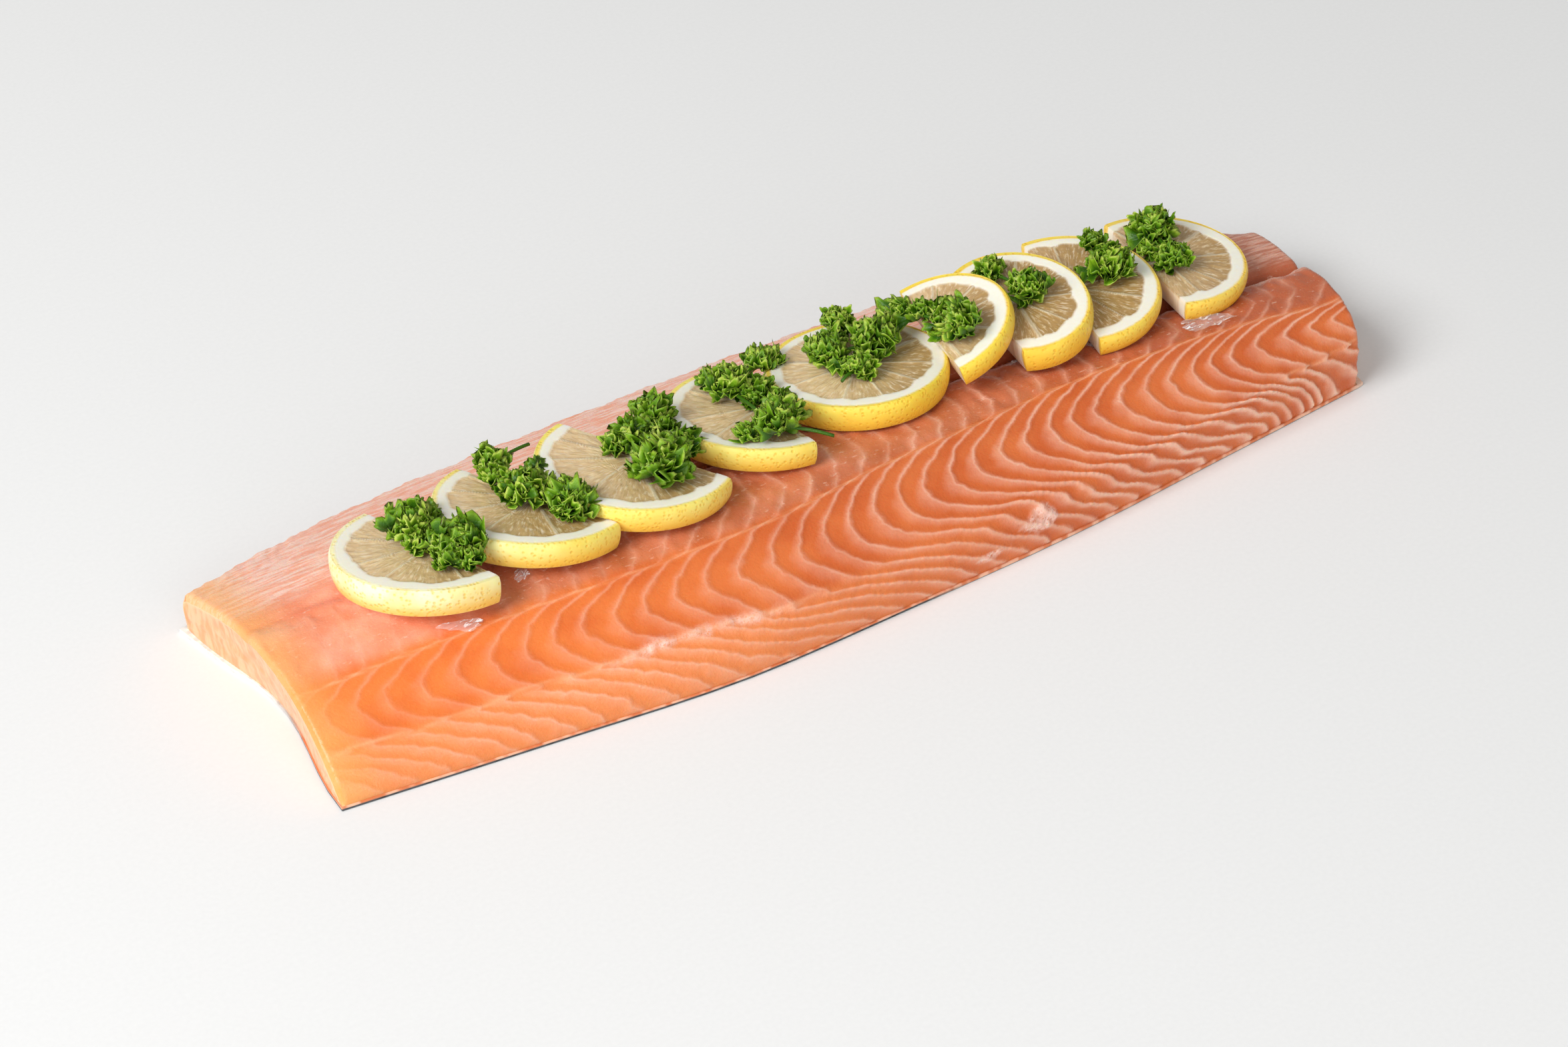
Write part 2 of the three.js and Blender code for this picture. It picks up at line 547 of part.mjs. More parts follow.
// Lemon slices, each laid on the flesh and on the slices before it
const clearance = [];
SLICES.forEach((slice) => {
  slice.z = restHeight(slice);
  slice.placing = placeOnSlice(new THREE.Object3D(), slice).matrix;
  clearance.push(solidOf(sliceGeometry(slice, SLICE_GAP).applyMatrix4(slice.placing)));
});
SLICES.forEach((slice) => {
  const geometry = slice.beside ? pressedSlice(slice) : sliceGeometry(slice);
  fillet.add(placeOnSlice(namedMesh(`lemon_${slice.number}`, geometry, FINISH.lemon), slice));
});

// Parsley sprigs, kept clear of every slice
SPRIGS.forEach((sprig) => {
  let solid = sprigSolid(sprig, sliceNumbered(sprig.slice).placing);
  clearance.forEach((room) => {
    solid = solid.subtract(room);
  });
  fillet.add(namedMesh(`parsley_${sprig.slice}`, geometryOf(solid), FINISH.parsley));
});

// Film scraps, kept clear of every slice
FILMS.forEach((film) => {
  let solid = solidOf(filmGeometry(film));
  clearance.forEach((room) => {
    solid = solid.subtract(room);
  });
  fillet.add(namedMesh(film.name, geometryOf(solid), FINISH.film));
});

// Origin under the middle of the whole
const box = new THREE.Box3().setFromObject(fillet);
const middle = box.getCenter(new THREE.Vector3());
fillet.position.set(-middle.x, -middle.y, -box.min.z);

export default fillet;
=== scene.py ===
# Raw salmon fillet with lemon slices, curly parsley and scraps of clear film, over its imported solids.
# Lengths are millimetres in the drawing that the solids were made from: x runs along the fillet from the
# head end, y across it from the loin edge to the belly edge, and z up from what the skin rests on.
import math

import bpy
import numpy as np
from mathutils import Matrix, Vector
from mathutils.geometry import tessellate_polygon


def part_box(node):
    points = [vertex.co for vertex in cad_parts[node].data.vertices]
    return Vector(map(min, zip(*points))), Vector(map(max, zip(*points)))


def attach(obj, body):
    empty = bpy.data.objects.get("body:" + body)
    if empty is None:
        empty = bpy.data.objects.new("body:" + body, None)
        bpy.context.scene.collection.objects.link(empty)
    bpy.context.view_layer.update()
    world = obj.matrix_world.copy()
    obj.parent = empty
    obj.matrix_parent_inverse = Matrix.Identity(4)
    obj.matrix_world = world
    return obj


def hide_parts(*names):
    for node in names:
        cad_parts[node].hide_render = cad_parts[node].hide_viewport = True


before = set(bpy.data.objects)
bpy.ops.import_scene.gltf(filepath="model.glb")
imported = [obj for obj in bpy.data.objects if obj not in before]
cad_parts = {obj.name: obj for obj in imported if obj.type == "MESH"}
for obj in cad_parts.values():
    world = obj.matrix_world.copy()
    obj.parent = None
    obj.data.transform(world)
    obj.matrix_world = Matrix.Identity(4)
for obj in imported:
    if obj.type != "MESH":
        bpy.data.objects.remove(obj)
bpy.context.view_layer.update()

MM = 0.001


def along(keys):
    """Smooth curve through (place, value) keys, level beyond the first and last."""
    places, values = np.array(keys, float).T
    order = np.arange(len(places))
    before = np.maximum(order - 1, 0)
    after = np.minimum(order + 1, len(places) - 1)
    slopes = (values[after] - values[before]) / (places[after] - places[before])

    def curve(x):
        x = np.clip(x, places[0], places[-1])
        i = np.clip(np.searchsorted(places, x) - 1, 0, len(places) - 2)
        span = places[i + 1] - places[i]
        t = (x - places[i]) / span
        start = (2 * t**3 - 3 * t**2 + 1) * values[i] + (t**3 - 2 * t**2 + t) * span * slopes[i]
        end = (3 * t**2 - 2 * t**3) * values[i + 1] + (t**3 - t**2) * span * slopes[i + 1]
        return start + end

    return curve


# Outline and height of the fillet, as in the solids but for a shallower groove and belly drop at the
# head end
SKIN_THICKNESS = 1.0
LOIN_EDGE = along([(-177, -50.5), (-117, -56.2), (-57, -61.2), (3, -59), (63, -55.2), (123, -48),
                   (179, -41)])
BELLY_EDGE = along([(-181, 43.5), (-137, 53.5), (-87, 59), (-27, 61.5), (23, 61.5), (73, 59), (123, 52),
                    (163, 38), (191, 22)])
CREST_LINE = along([(-177, -1), (-117, -14), (-47, -22), (63, -19), (179, -18)])
CREST_HEIGHT = along([(-177, 24.5), (-107, 27), (3, 28.5), (93, 28.3), (183, 27.2)])
SIDE_ROUNDNESS = along([(-177, 1.5), (-57, 1.75), (63, 1.9), (179, 2.1)])
SIDE_STEEPNESS = along([(-177, 1.5), (-57, 2.1), (63, 3.0), (179, 5.0)])
GROOVE_LINE = along([(-177, 7), (-87, 5), (63, 1), (183, -5)])
LIP_DROP = along([(-177, 1.0), (3, 2.0), (183, 2.6)])
BELLY_DROP = along([(-177, 0), (-150, 0), (-105, 0.75), (3, 1.0), (183, 1.4)])
BELLY_EDGE_HEIGHT = along([(-181, 13.4), (-57, 13.5), (63, 15.5), (133, 18), (188, 19.4)])
BELLY_BULGE = along([(-181, 0.25), (-57, 0.5), (63, 0.7), (188, 0.8)])
LIP_CURVE = 1.6
GROOVE_DEPTH = along([(-177, 0.4), (-155, 0.7), (-105, 2.2), (183, 2.2)])
GROOVE_HALF_WIDTH = 3.0
BELLY_UNDERCUT = 1.2
BELLY_BROW = 0.95
EDGE_SHOULDER = 0.62
RAGGED_WAVES = [(0.54, 0.23, 0), (0.36, 0.61, 1), (0.25, 1.7, 2)]
HEAD_CUT_X = -177.0
HEAD_CUT_Y = -50.6
HEAD_CUT_SLOPE = -0.048
HEAD_HOLLOW = 6.5
HEAD_HOLLOW_TOP = 30.0
TAIL_CUT_X = 178.8
TAIL_CUT_Y = -41.0
TAIL_CUT_SLOPE = 0.135
END_ROUNDING = 2.0

# Flakes of the loin: their number along it, and how far up its side they bend, turn at the apex and
# meet the midline
FLAKE_NUMBER = along([(-240, -9), (-153, 0), (-104.7, 5), (-57.6, 10), (-10.4, 15), (36, 20), (80.5, 25),
                      (115.8, 29), (131.4, 31), (152.4, 33), (190, 37)])
BEND_UP = along([(-178, 13.5), (-110, 15.5), (-60, 17), (-35, 14.5), (-15, 15.2), (10, 17), (45, 18.8),
                 (90, 17), (125, 16.2), (180, 16.5)])
APEX_UP = along([(-178, 26.5), (-130, 26.5), (-60, 28), (-10, 29.2), (30, 32.7), (55, 33.2), (80, 32.7),
                 (125, 30), (145, 29), (165, 26.5), (182, 25)])
SEAM_UP = along([(-174, 34), (-145, 36.5), (-100, 39.5), (-60, 41.5), (-25, 42), (10, 45), (40, 45.8),
                 (75, 46.5), (110, 43.5), (150, 37.5), (165, 33.5), (182, 30.8)])
# How far along the fillet a flake's edge runs between those places, and how much each run curves
FOOT_RUN = along([(-150, 28), (-120, 28), (-85, 29.5), (-60, 31), (-30, 40), (0, 41), (30, 37), (60, 34),
                  (120, 34.5), (145, 30), (165, 20)])
FOOT_CURVE = along([(-150, 1.4), (-100, 1.65), (-60, 1.4), (0, 1.35), (60, 1.2), (110, 1.45), (145, 1.75),
                    (165, 2.0)])
BEND_RUN = along([(-150, 12), (-110, 10), (-60, 10), (-30, 13), (0, 15), (30, 17.5), (60, 18.5),
                  (90, 15.5), (145, 18), (165, 13)])
BEND_CURVE = along([(-150, 2.6), (-100, 2.0), (-60, 1.35), (-30, 1.3), (0, 2.1), (130, 2.2), (165, 1.5)])
SEAM_RUN = along([(-150, 12), (-100, 16), (-60, 13.5), (-30, 14.5), (0, 17), (60, 19), (120, 22.5),
                  (150, 21)])
SEAM_CURVE = along([(-150, 1.4), (-110, 2), (-60, 2), (-30, 1.4), (0, 1.9), (30, 1.6), (150, 1.4)])
CREST_RUN = along([(-90, 3), (-45, 9.5), (0, 6), (60, 3), (100, 3), (150, 12)])
# Relief of the flakes in millimetres, and the steps, wobbles and waves of their edges in shares of a
# flake; a wobble also has a cell in millimetres and a seed
FOOT_RELIEF = along([(-170, 0.35), (-60, 0.6), (60, 0.8), (170, 0.85)])
LOIN_RELIEF = along([(-170, 0.25), (-60, 0.38), (60, 0.42), (170, 0.45)])
FLAKE_STEP = 0.22
FLAKE_WOBBLES = [(0.085, 7, 1), (0.068, 2.6, 2), (0.102, 19, 16)]
RAGGED_WOBBLE = 0.11
RIDGE_OFFSET = 0.6
LOWER_OFFSET = 0.4
FOOT_WAVE = 0.4
FOOT_WAVES = 3
LINE_STRENGTH = along([(-175, 0.16), (-140, 0.28), (-80, 0.36), (-30, 0.46), (10, 0.62), (90, 0.68)])

# Torn flesh: patches by place along, height walked up the side and half-sizes, the margin that they
# fade over, and a fuzzy ridge at the bend by place and half-length
TORN_PATCHES = [(49, 9.5, 4.8, 4.4), (29, 5, 5, 1.2)]
TORN_MARGIN = (1.5, 0.55)
TORN_RIDGE = (-66, 25)

# Levels up the side, in turns of the flakes, where a part of it begins and is full
FOOT_LEVELS = (1.25, 0.85)
BEND_LEVELS = (1.03, 0.97)
WIDE_LEVELS = (2.3, 1.7)
RIDGE_LEVELS = (2.97, 3.03)
SIDE_LEVELS = (3.1, 2.9)
ABOVE_LEVELS = (2.95, 3.15)
TOP_LEVELS = (3.0, 3.35)
CREASE_LEVEL = 3.5
# The same beyond the crest, which is 0: the groove is 1, the belly's brow 2 and the foot of its edge 3
ABOVE_ENDS = (1.0, 0.4)
WET_STARTS = (0.2, 0.5)
WET_ENDS = (1.1, 0.9)
BELLY_STARTS = (1.05, 1.35)
SCALES_START = (1.5, 1.8)
RELIEF_ENDS = (2.95, 2.5)
# The same in millimetres along the fillet, and for the last two up its side
RAGGED_HEAD = (-15, -45)
RAGGED_TAIL = (140, 150)
WAVES_START = (10, 50)
WAVES_END = (146, 132)
TOP_LINES_FADE = (60, 140)
TAIL_LINES = (20, 100)
HEAD_LINES = (-30, -90)
# Painted light: the foot of the loin is paler towards the head end, nearest the lamp
LIT_FOOT = (60, -80)
BROAD_FOOT = (0, 80)
LIP_STARTS = (-150, -120)
LIP_FULL = (150, 168)
CREASE_FADES = (-120, -150)
SCALES_FADE = (-125, -150)
FLAKES_START = (0, 1.5)
TORN_STARTS = (0, 2.5)

# Seams, lip and crease: their places from the lines they follow, half-widths and the heights of the relief
SEAM_HALF_WIDTH = 0.42
LOWER_SEAM_RISE = 0.4
LIP_INSET = 3.4
LIP_HALF_WIDTH = 1.4
CREASE_INSET = 1.5
CREASE_HALF_WIDTH = 2.4
SEAM_RELIEF = 0.15
LOWER_SEAM_RELIEF = 0.2
RIPPLE_RELIEF = 0.3
FINE_RIPPLE_RELIEF = 0.2
STREAK_RELIEF = 0.12
SCALE_RELIEF = 0.18
CUT_RELIEF = 0.35

# Mesh of the fillet: columns along it and rows up the side, over the top, over the belly and down its edge
COLUMNS = 600
SIDE_ROWS = 64
TOP_ROWS = 20
BELLY_ROWS = 40
EDGE_ROWS = 16
SECTION_SAMPLES = 240
CUT_FITTING_ROUNDS = 4
# Edges that turn by more than so many degrees are shaded as sharp
SHARP_ANGLE = 50

# Lemon slices: centre, half-widths, slope of the top face, thickness, ends of the straight cut in degrees
# round the rim, and the slices under it that it gives way to
SLICES = {
    1: ((-120.3, 1.3), (29.3, 27.9), (0.10, 0.14), 8.5, (108, 283), ()),
    2: ((-87.0, 4.0), (28.9, 28.4), (0.14, 0.12), 8.0, (113, 299), ()),
    3: ((-53.7, 3.8), (28.8, 29.6), (0.10, 0.06), 7.6, (111, 310), (2,)),
    4: ((-7.9, 9.8), (28.5, 28.1), (0.10, 0.12), 7.5, (96, 274), ()),
    5: ((27.5, 12.9), (27.0, 27.8), (0.0, 0.14), 8.5, None, ()),
    6: ((53.0, 9.8), (24.0, 23.3), (-0.34, 0.08), 7.0, (-103, 84), (5, 7)),
    7: ((82.0, 8.5), (21.0, 26.0), (-0.17, 0.02), 8.8, (-124, 108), (8,)),
    8: ((104.0, 10.7), (26.6, 29.1), (-0.08, 0.02), 6.5, (-108, 86), ()),
    9: ((138.7, 10.0), (25.4, 27.1), (0.02, 0.03), 6.5, (-111, 96), ()),
}
SLICE_BULGE = 0.7
SLICE_FULLNESS = along([(-1, -0.5), (-0.7, 0.7), (-0.25, 1), (0, 0)])
SLICE_GAP = 0.15
SLICE_ROUND = 170
SLICE_CUT_POINTS = 80
SLICE_TOP_RINGS = 32
SLICE_SIDE_LEVELS = 14
SLICE_UNDER_RINGS = 6
TOP_RING_POWER = 0.9
SIDE_LEVEL_POWER = 1.3
# Rind and segments of a slice in millimetres, and the grain, sacs and dimness of its pulp
ZEST = 1.0
ZEST_FAR = 2.0
PITH = 3.3
SEGMENTS = {1: 9, 2: 10, 3: 9, 4: 10, 5: 10, 6: 9, 7: 9, 8: 10, 9: 9}
MEMBRANE = 0.3
CORE = 1.6
SEGMENT_ROUNDING = 3.2
SEGMENT_TURN = 0.37
WHOLE_SLICE_TURN = 250
GRAIN_ACROSS = 0.62
GRAIN_ALONG = 0.42
SEGMENT_SHIFT = 31
SLICE_SHIFT = 7
VESICLE = 0.85
VESICLE_SEED = 30
VESICLE_RELIEF = 0.16
RIND_ROUNDING = 0.35
PULP_EDGE = (-0.1, 0.7)
PULP_SUNK = 0.35
# Painted shade on the pulp: darker towards +x and the near side of each slice, more or less for some slices
DIM_ALONG = 0.8
DIM_ACROSS = 0.4
PULP_DARKER = {2: 0.25, 5: -0.15, 6: -0.35, 7: 0.15, 8: 0.2, 9: -0.4}

# Parsley: heads of each slice's sprig in that slice's plane, and a bare stalk from one head to an end point
SPRIGS = {
    1: ([(-4.6, 4.8, 9.6), (1.6, -11.9, 9.4)], None),
    2: ([(-4.3, -2.2, 9), (-4, 19.3, 6), (4.1, -12.7, 8.4)], (1, (10, 22, 5))),
    3: ([(0.4, -12.3, 9.6), (12.7, 13.4, 7.2), (-4, 5.2, 3.4), (15, -3.8, 3.6)], None),
    4: ([(-5.6, 9.4, 8.4), (11.5, 20.2, 5.6), (-6, -18.3, 8.4)], (2, (6.8, -30.2, 1.6))),
    5: ([(7.4, 1, 9.6), (5.6, 19.8, 6.4), (-7.4, 5.1, 7.6), (-4.4, -8, 6)], (3, (-11.2, -10, 1.6))),
    6: ([(4.0, -9.4, 9.2), (-3.4, 12.2, 4.2)], None),
    7: ([(3.5, -1.8, 7.6), (0.6, 14.2, 5.2)], None),
    8: ([(13.5, -3.0, 8.0), (17.6, 12.6, 4.0)], None),
    9: ([(4.8, 12, 8.4), (-0.3, -5.6, 7.0)], None),
}
# Small heads that fill out each sprig
CLUMPS = {
    1: [(-6.4, -2.3, 4), (-3.5, -16, 4.2), (2.5, -18, 4.2)],
    2: [(-6.5, 11, 4.5), (5, 9, 4.5), (2, -16, 4)],
    3: [(2, 6, 5.0), (11, 3.5, 4.2)],
    4: [(3.6, 6.5, 4.2), (2.5, -11.5, 5), (-15, -17, 3.2), (-7, 18, 4.5), (15.5, 20, 4.2), (-1, 1, 4.2),
        (4, -3, 3.6)],
    5: [(0, 12.5, 4)],
    6: [(1, 6, 4)],
    9: [(-3, 3.5, 4)],
}
# Single flat blades: start in the slice's plane, heading in degrees and length
BLADES = {
    5: [(-6, 0.5, 190, 8.5), (-5, -3, 240, 7.0)],
    6: [(-3, 6, 95, 8.5), (-4, 13, 110, 8.5)],
    8: [(10, 0, 205, 7.5)],
    9: [(2, 10, 190, 8.5), (0, 2, 215, 7.0)],
}
BLADE_RISE = 2.6
BLADE_SLOPE = 0.1
# Leaflets: their curl, size and number on a head, lobes, teeth and ruffles, how they lie, and stalks
LEAF_CURL = (0.1, 0.7)
BLADE_CURL = (-0.2, 0.05)
LEAF_SCALE = {3: 1.3, 8: 1.15}
LEAFLETS_A_HEAD = 7
LEAFLETS_A_SQUARE = 0.26
LEAFLET_ROUND = 34
LEAFLET_REACH = np.array([0.36, 0.66, 0.88, 1.0])
LEAFLET_SPREAD = math.radians(100)
LOBE_ANGLE = math.radians(66)
LOBE_DEPTH = 0.44
TOOTH_ANGLE = math.radians(24)
TOOTH_DEPTH = 0.22
TOOTH_LIFT = 0.16
RUFFLE = 0.28
RUFFLE_RATE = (2.4, 3.6)
FRILL = 0.24
FRILL_RATE = (8.0, 12.0)
LEAF_RUFFLING = (0.35, 1.2)
LEAF_DROOP = 0.25
LEAF_ROLL = 0.9
LEAF_THICKNESS = 0.25
DOME_SPREAD = 1.12
GOLDEN_TURN = 2.39996
HEAD_RISE = 0.24
STEM_RADIUS = 0.55
STEM_SIDES = 7
STEM_STEPS = 8
STEM_BOW = 0.8
STEM_TIP = 0.25
STEM_SHADE = 0.6
SPRIG_CLEARANCE = 0.3
SPRIG_SEED = 100

# Film scraps: centre, half-lengths along and across, and turn in degrees
FILMS = {
    "film_1": ((-126.0, -25.5), (7.5, 2.4), -22),
    "film_2": ((-103.0, -17.5), (3.2, 2.6), 60),
    "film_3": ((75.5, -5.0), (4.0, 3.2), 20),
    "film_4": ((134.0, -19.5), (11.0, 4.2), -8),
}
FILM_THICKNESS = 0.12
FILM_LIFT = 0.6
FILM_FOLDS = 0.9
FILM_ROUND = 48
FILM_RINGS = 12
FILM_SEED = 200
FILM_SHARP_ANGLE = 30

# Flake lines: the core in millimetres past and ahead of a flake's edge, the band in shares of a flake
LINE_JITTER = 0.12
CORE_PAST = (0.42, 0.06)
CORE_AHEAD = 0.75
CORE_AHEAD_BROAD = 1.3
CORE_FULL = 0.12
CORE_SHARE = 0.42
# The band is partly the fat seen through the flesh and partly painted light on each flake's rise towards its
# edge
BAND_START = 0.68
BAND_WIDER = 0.32
BAND_PAST = (0.2, 0.0)
BAND_SHARE = 0.64

# Looks: the flesh's index of refraction, and where colours change, in millimetres on the part
FLESH_IOR = 1.38
# Painted shade: the loin's colour darkens from the head end towards the tail, as the light falls off
LOIN_SHADE_FALLOFF = (-150.0, 0.0)
# Painted shade: the top darkens towards the tail as the light falls off
TOP_SHADE_FALLOFF = (20.0, 120.0)
ROSY_ENDS = (-145.0, -105.0)
# Painted shade: the belly darkens towards the tail as the light falls off
BELLY_SHADE_FALLOFF = (90.0, 150.0)
HEAD_PALES = (-162.0, -181.0)
# Painted highlight: the cut faces are paler along their top edge, where the edge catches the light
CUT_EDGE_HIGHLIGHT = (1.6, 0.0)
SKIN_PALES = (-25.0, 12.0)
FAT_RISES = (0.45, 0.7)
FAT_STARTS = (0.0, 25.0)
FAT_FOOT = (0.02, 0.1)
FAT_ENDS = (-5.0, -25.0)
TAIL_TAB = (172.0, 177.0)
PULP_SHADES = (20.0, 90.0)
# Painted light: the peel pales towards the head end, where the lamp washes it out, and deepens towards the
# tail
PEEL_LIGHT_FALLOFF = (-150.0, 150.0)
WALL_WIDTH = (0.4, -0.2)
PITH_ENDS = (-0.5, 0.7)
RIND_STARTS = (-0.3, 0.75)
# The same in shares of a slice's thickness or half-width
PULP_DIMS = (-0.55, 0.5)
CUT_WALL = (0.08, 0.2)
# Painted shade: the peel deepens to gold towards the bottom of the slice
PEEL_LOW_SHADE = (0.25, 0.95)
# Colour ramps: place and screen colour
# The peel ramp runs from the head end to the tail; its pale stops are painted light
PEEL_COLOURS = [(0.05, (255, 250, 204)), (0.2, (254, 230, 112)), (0.38, (254, 234, 130)),
                (0.6, (255, 220, 72)), (0.95, (254, 218, 98))]
# The parsley ramp runs from the leaflets' bases to their margins: partly the leaf's own green, partly
# painted shade within the heads and painted light on the margins
PARSLEY_COLOURS = [(0.1, (24, 54, 6)), (0.45, (60, 106, 12)), (0.75, (122, 166, 28)), (1.0, (210, 228, 96))]

# Camera, light and floor, in metres and watts, with the lens and sensor in millimetres; each light has a
# place, an aim, a size and a power
CAMERA_PLACE = Vector((-0.4448, -0.7380, 0.6499))
CAMERA_AIM = Vector((-0.0252, -0.0281, 0.02))
CAMERA_ROLL = math.radians(-1.04)
CAMERA_LENS = 82.25
CAMERA_SENSOR = 36.0
LIGHTS = {
    "window": ((-2.0, -0.3, 1.78), (-0.05, 0.0, 0.0), (1.5, 1.3), 63.5),
    "bounce": ((-0.6, -2.0, 0.9), (0.0, 0.0, 0.0), (2.0, 1.0), 13.5),
}
SKY_STRENGTH = 0.36
FLOOR_HALF = 4.0
FLOOR_DROP = 0.0002

# From the drawing to the frame, whose origin is the bottom centre of the part
SHIFT = np.array([-2.3797, -0.3620, 0.0])


def eased(value, low, high):
    """0 at low, 1 at high, eased between them and level beyond; low may be the greater."""
    t = np.clip((value - low) / (high - low), 0, 1)
    return t * t * (3 - 2 * t)


def mound(offset, half_width):
    """1 where the offset is 0, fading out on both sides of it."""
    return np.exp(-((offset / half_width) ** 2))


def waves(x, table):
    """Sum of sine waves, each given by its height, rate and start."""
    return sum(high * np.sin(rate * x + start) for high, rate, start in table)


def value_noise(u, v, cell, seed, lattice=64):
    """Smooth noise from -1 to 1 over a plane, from a seeded lattice."""
    grid = np.random.default_rng(seed).uniform(-1, 1, (lattice, lattice))
    i = np.floor(u / cell).astype(int)
    j = np.floor(v / cell).astype(int)
    s = eased(u / cell - i, 0, 1)
    t = eased(v / cell - j, 0, 1)
    left, right = i % lattice, (i + 1) % lattice
    low, high = j % lattice, (j + 1) % lattice
    near = grid[left, low] * (1 - s) + grid[right, low] * s
    far = grid[left, high] * (1 - s) + grid[right, high] * s
    return near * (1 - t) + far * t


def linked(name, data):
    """New object that holds the data, in the scene."""
    made = bpy.data.objects.new(name, data)
    bpy.context.scene.collection.objects.link(made)
    return made


def make_piece(name, points, faces, materials, replaced, fields, face_kinds=None, sharp_angle=None):
    """Smooth mesh from points in the drawing, riding on the part in place of the solids it replaces."""
    mesh = bpy.data.meshes.new(name)
    placed = (np.asarray(points, float) + SHIFT) * MM
    mesh.from_pydata(placed.tolist(), [], [list(map(int, face)) for face in faces])
    for material in materials:
        mesh.materials.append(material)
    if face_kinds is not None:
        mesh.polygons.foreach_set("material_index", np.asarray(face_kinds, np.int32))
    mesh.polygons.foreach_set("use_smooth", np.ones(len(mesh.polygons), bool))
    if sharp_angle is not None:
        mesh.set_sharp_from_angle(angle=math.radians(sharp_angle))
    for label, values in fields.items():
        values = np.asarray(values, np.float32)
        kind, key = ("FLOAT", "value") if values.ndim == 1 else ("FLOAT_VECTOR", "vector")
        mesh.attributes.new(label, kind, "POINT").data.foreach_set(key, values.ravel())
    mesh.update()
    piece = linked(name, mesh)
    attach(piece, "root")
    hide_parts(*replaced)


def quads_of(corners, closed=False):
    """Faces of a grid of point numbers, joined round if closed, triangles where corners coincide."""
    if closed:
        corners = np.concatenate([corners, corners[:, :1]], 1)
    quads = np.stack([corners[:-1, :-1], corners[:-1, 1:], corners[1:, 1:], corners[1:, :-1]], -1)
    return [list(dict.fromkeys(quad)) for quad in quads.reshape(-1, 4).tolist()]


def grid_faces(rows, columns, closed=False):
    """Faces of a grid of points stored row by row."""
    return quads_of(np.arange(rows * columns).reshape(rows, columns), closed)


def capped_faces(rings, around):
    """Faces of closed rings stored in order, fanned at their ends to two points stored after them."""
    hub = np.full((1, around), rings * around)
    inner = np.arange(rings * around).reshape(rings, around)
    return quads_of(np.concatenate([hub, inner, hub + 1]), closed=True)


class Graph:
    """Short names for the shader nodes that the materials are made of."""

    def __init__(self, name):
        self.material = bpy.data.materials.new(name)
        self.material.use_nodes = True
        self.tree = self.material.node_tree
        self.tree.nodes.clear()
        output = self.tree.nodes.new("ShaderNodeOutputMaterial")
        self.shader = self.tree.nodes.new("ShaderNodeBsdfPrincipled")
        self.tree.links.new(self.shader.outputs["BSDF"], output.inputs["Surface"])

    def feed(self, socket, value):
        if isinstance(value, bpy.types.NodeSocket):
            self.tree.links.new(value, socket)
        else:
            socket.default_value = value

    def node(self, kind, inputs, **settings):
        made = self.tree.nodes.new(kind)
        for name, value in settings.items():
            setattr(made, name, value)
        for key, value in inputs.items():
            self.feed(made.inputs[key], value)
        return made

    def set(self, **inputs):
        for name, value in inputs.items():
            self.feed(self.shader.inputs[name.replace("_", " ")], value)

    def math(self, operation, a, b=0.0):
        return self.node("ShaderNodeMath", {0: a, 1: b}, operation=operation).outputs[0]

    def times(self, a, b):
        return self.math("MULTIPLY", a, b)

    def plus(self, a, b):
        return self.math("ADD", a, b)

    def minus(self, a, b):
        return self.math("SUBTRACT", a, b)

    def larger(self, a, b):
        return self.math("MAXIMUM", a, b)

    def scaled(self, value, rate, start):
        return self.plus(self.times(value, rate), start)

    def field(self, name, output="Fac"):
        return self.node("ShaderNodeAttribute", {}, attribute_name=name).outputs[output]

    def place(self):
        """Place on the part in millimetres."""
        spot = self.node("ShaderNodeTexCoord", {}).outputs["Object"]
        return self.stretch(spot, (1 / MM, 1 / MM, 1 / MM))

    def axes(self, vector):
        return self.node("ShaderNodeSeparateXYZ", {0: vector}).outputs

    def stretch(self, vector, scale):
        return self.node("ShaderNodeVectorMath", {0: vector, 1: scale}, operation="MULTIPLY").outputs[0]

    def eased(self, value, low, high, kind="SMOOTHSTEP"):
        inputs = {"Value": value, "From Min": low, "From Max": high}
        return self.node("ShaderNodeMapRange", inputs, interpolation_type=kind).outputs[0]

    def noise(self, vector, scale, detail=2.0, roughness=0.5):
        inputs = {"Vector": vector, "Scale": scale, "Detail": detail, "Roughness": roughness}
        return self.node("ShaderNodeTexNoise", inputs).outputs[0]

    def cells(self, vector, scale):
        """Distance to the nearest of scattered points."""
        return self.node("ShaderNodeTexVoronoi", {"Vector": vector, "Scale": scale}).outputs["Distance"]

    def mix(self, factor, a, b):
        """Blend of two colours, each a socket or a screen colour."""
        a, b = (colour(*paint) if isinstance(paint, tuple) else paint for paint in (a, b))
        return self.node("ShaderNodeMix", {0: factor, 6: a, 7: b}, data_type="RGBA").outputs[2]

    def tint(self, base, mask, share, paint):
        """Colour with a share of another laid over it where the mask says."""
        return self.mix(self.times(mask, share), base, paint)

    def ramp(self, factor, stops):
        made = self.node("ShaderNodeValToRGB", {0: factor})
        elements = made.color_ramp.elements
        while len(elements) < len(stops):
            elements.new(0.5)
        for element, (place, paint) in zip(elements, stops):
            element.position = place
            element.color = colour(*paint)
        return made.outputs[0]

    def bump(self, height, depth):
        """Bump whose full height is so many millimetres."""
        inputs = {"Height": height, "Distance": depth * MM, "Strength": 1.0}
        return self.node("ShaderNodeBump", inputs).outputs[0]

    def translucent(self, weight, reach, depth):
        """Light that spreads so many millimetres under the surface, shared out to red, green and blue."""
        self.set(Subsurface_Weight=weight, Subsurface_Radius=reach, Subsurface_Scale=depth * MM)


def colour(red, green, blue):
    """Linear colour from screen values of 0 to 255."""
    parts = [c / 255 for c in (red, green, blue)]
    return tuple(p / 12.92 if p < 0.04045 else ((p + 0.055) / 1.055) ** 2.4 for p in parts) + (1.0,)


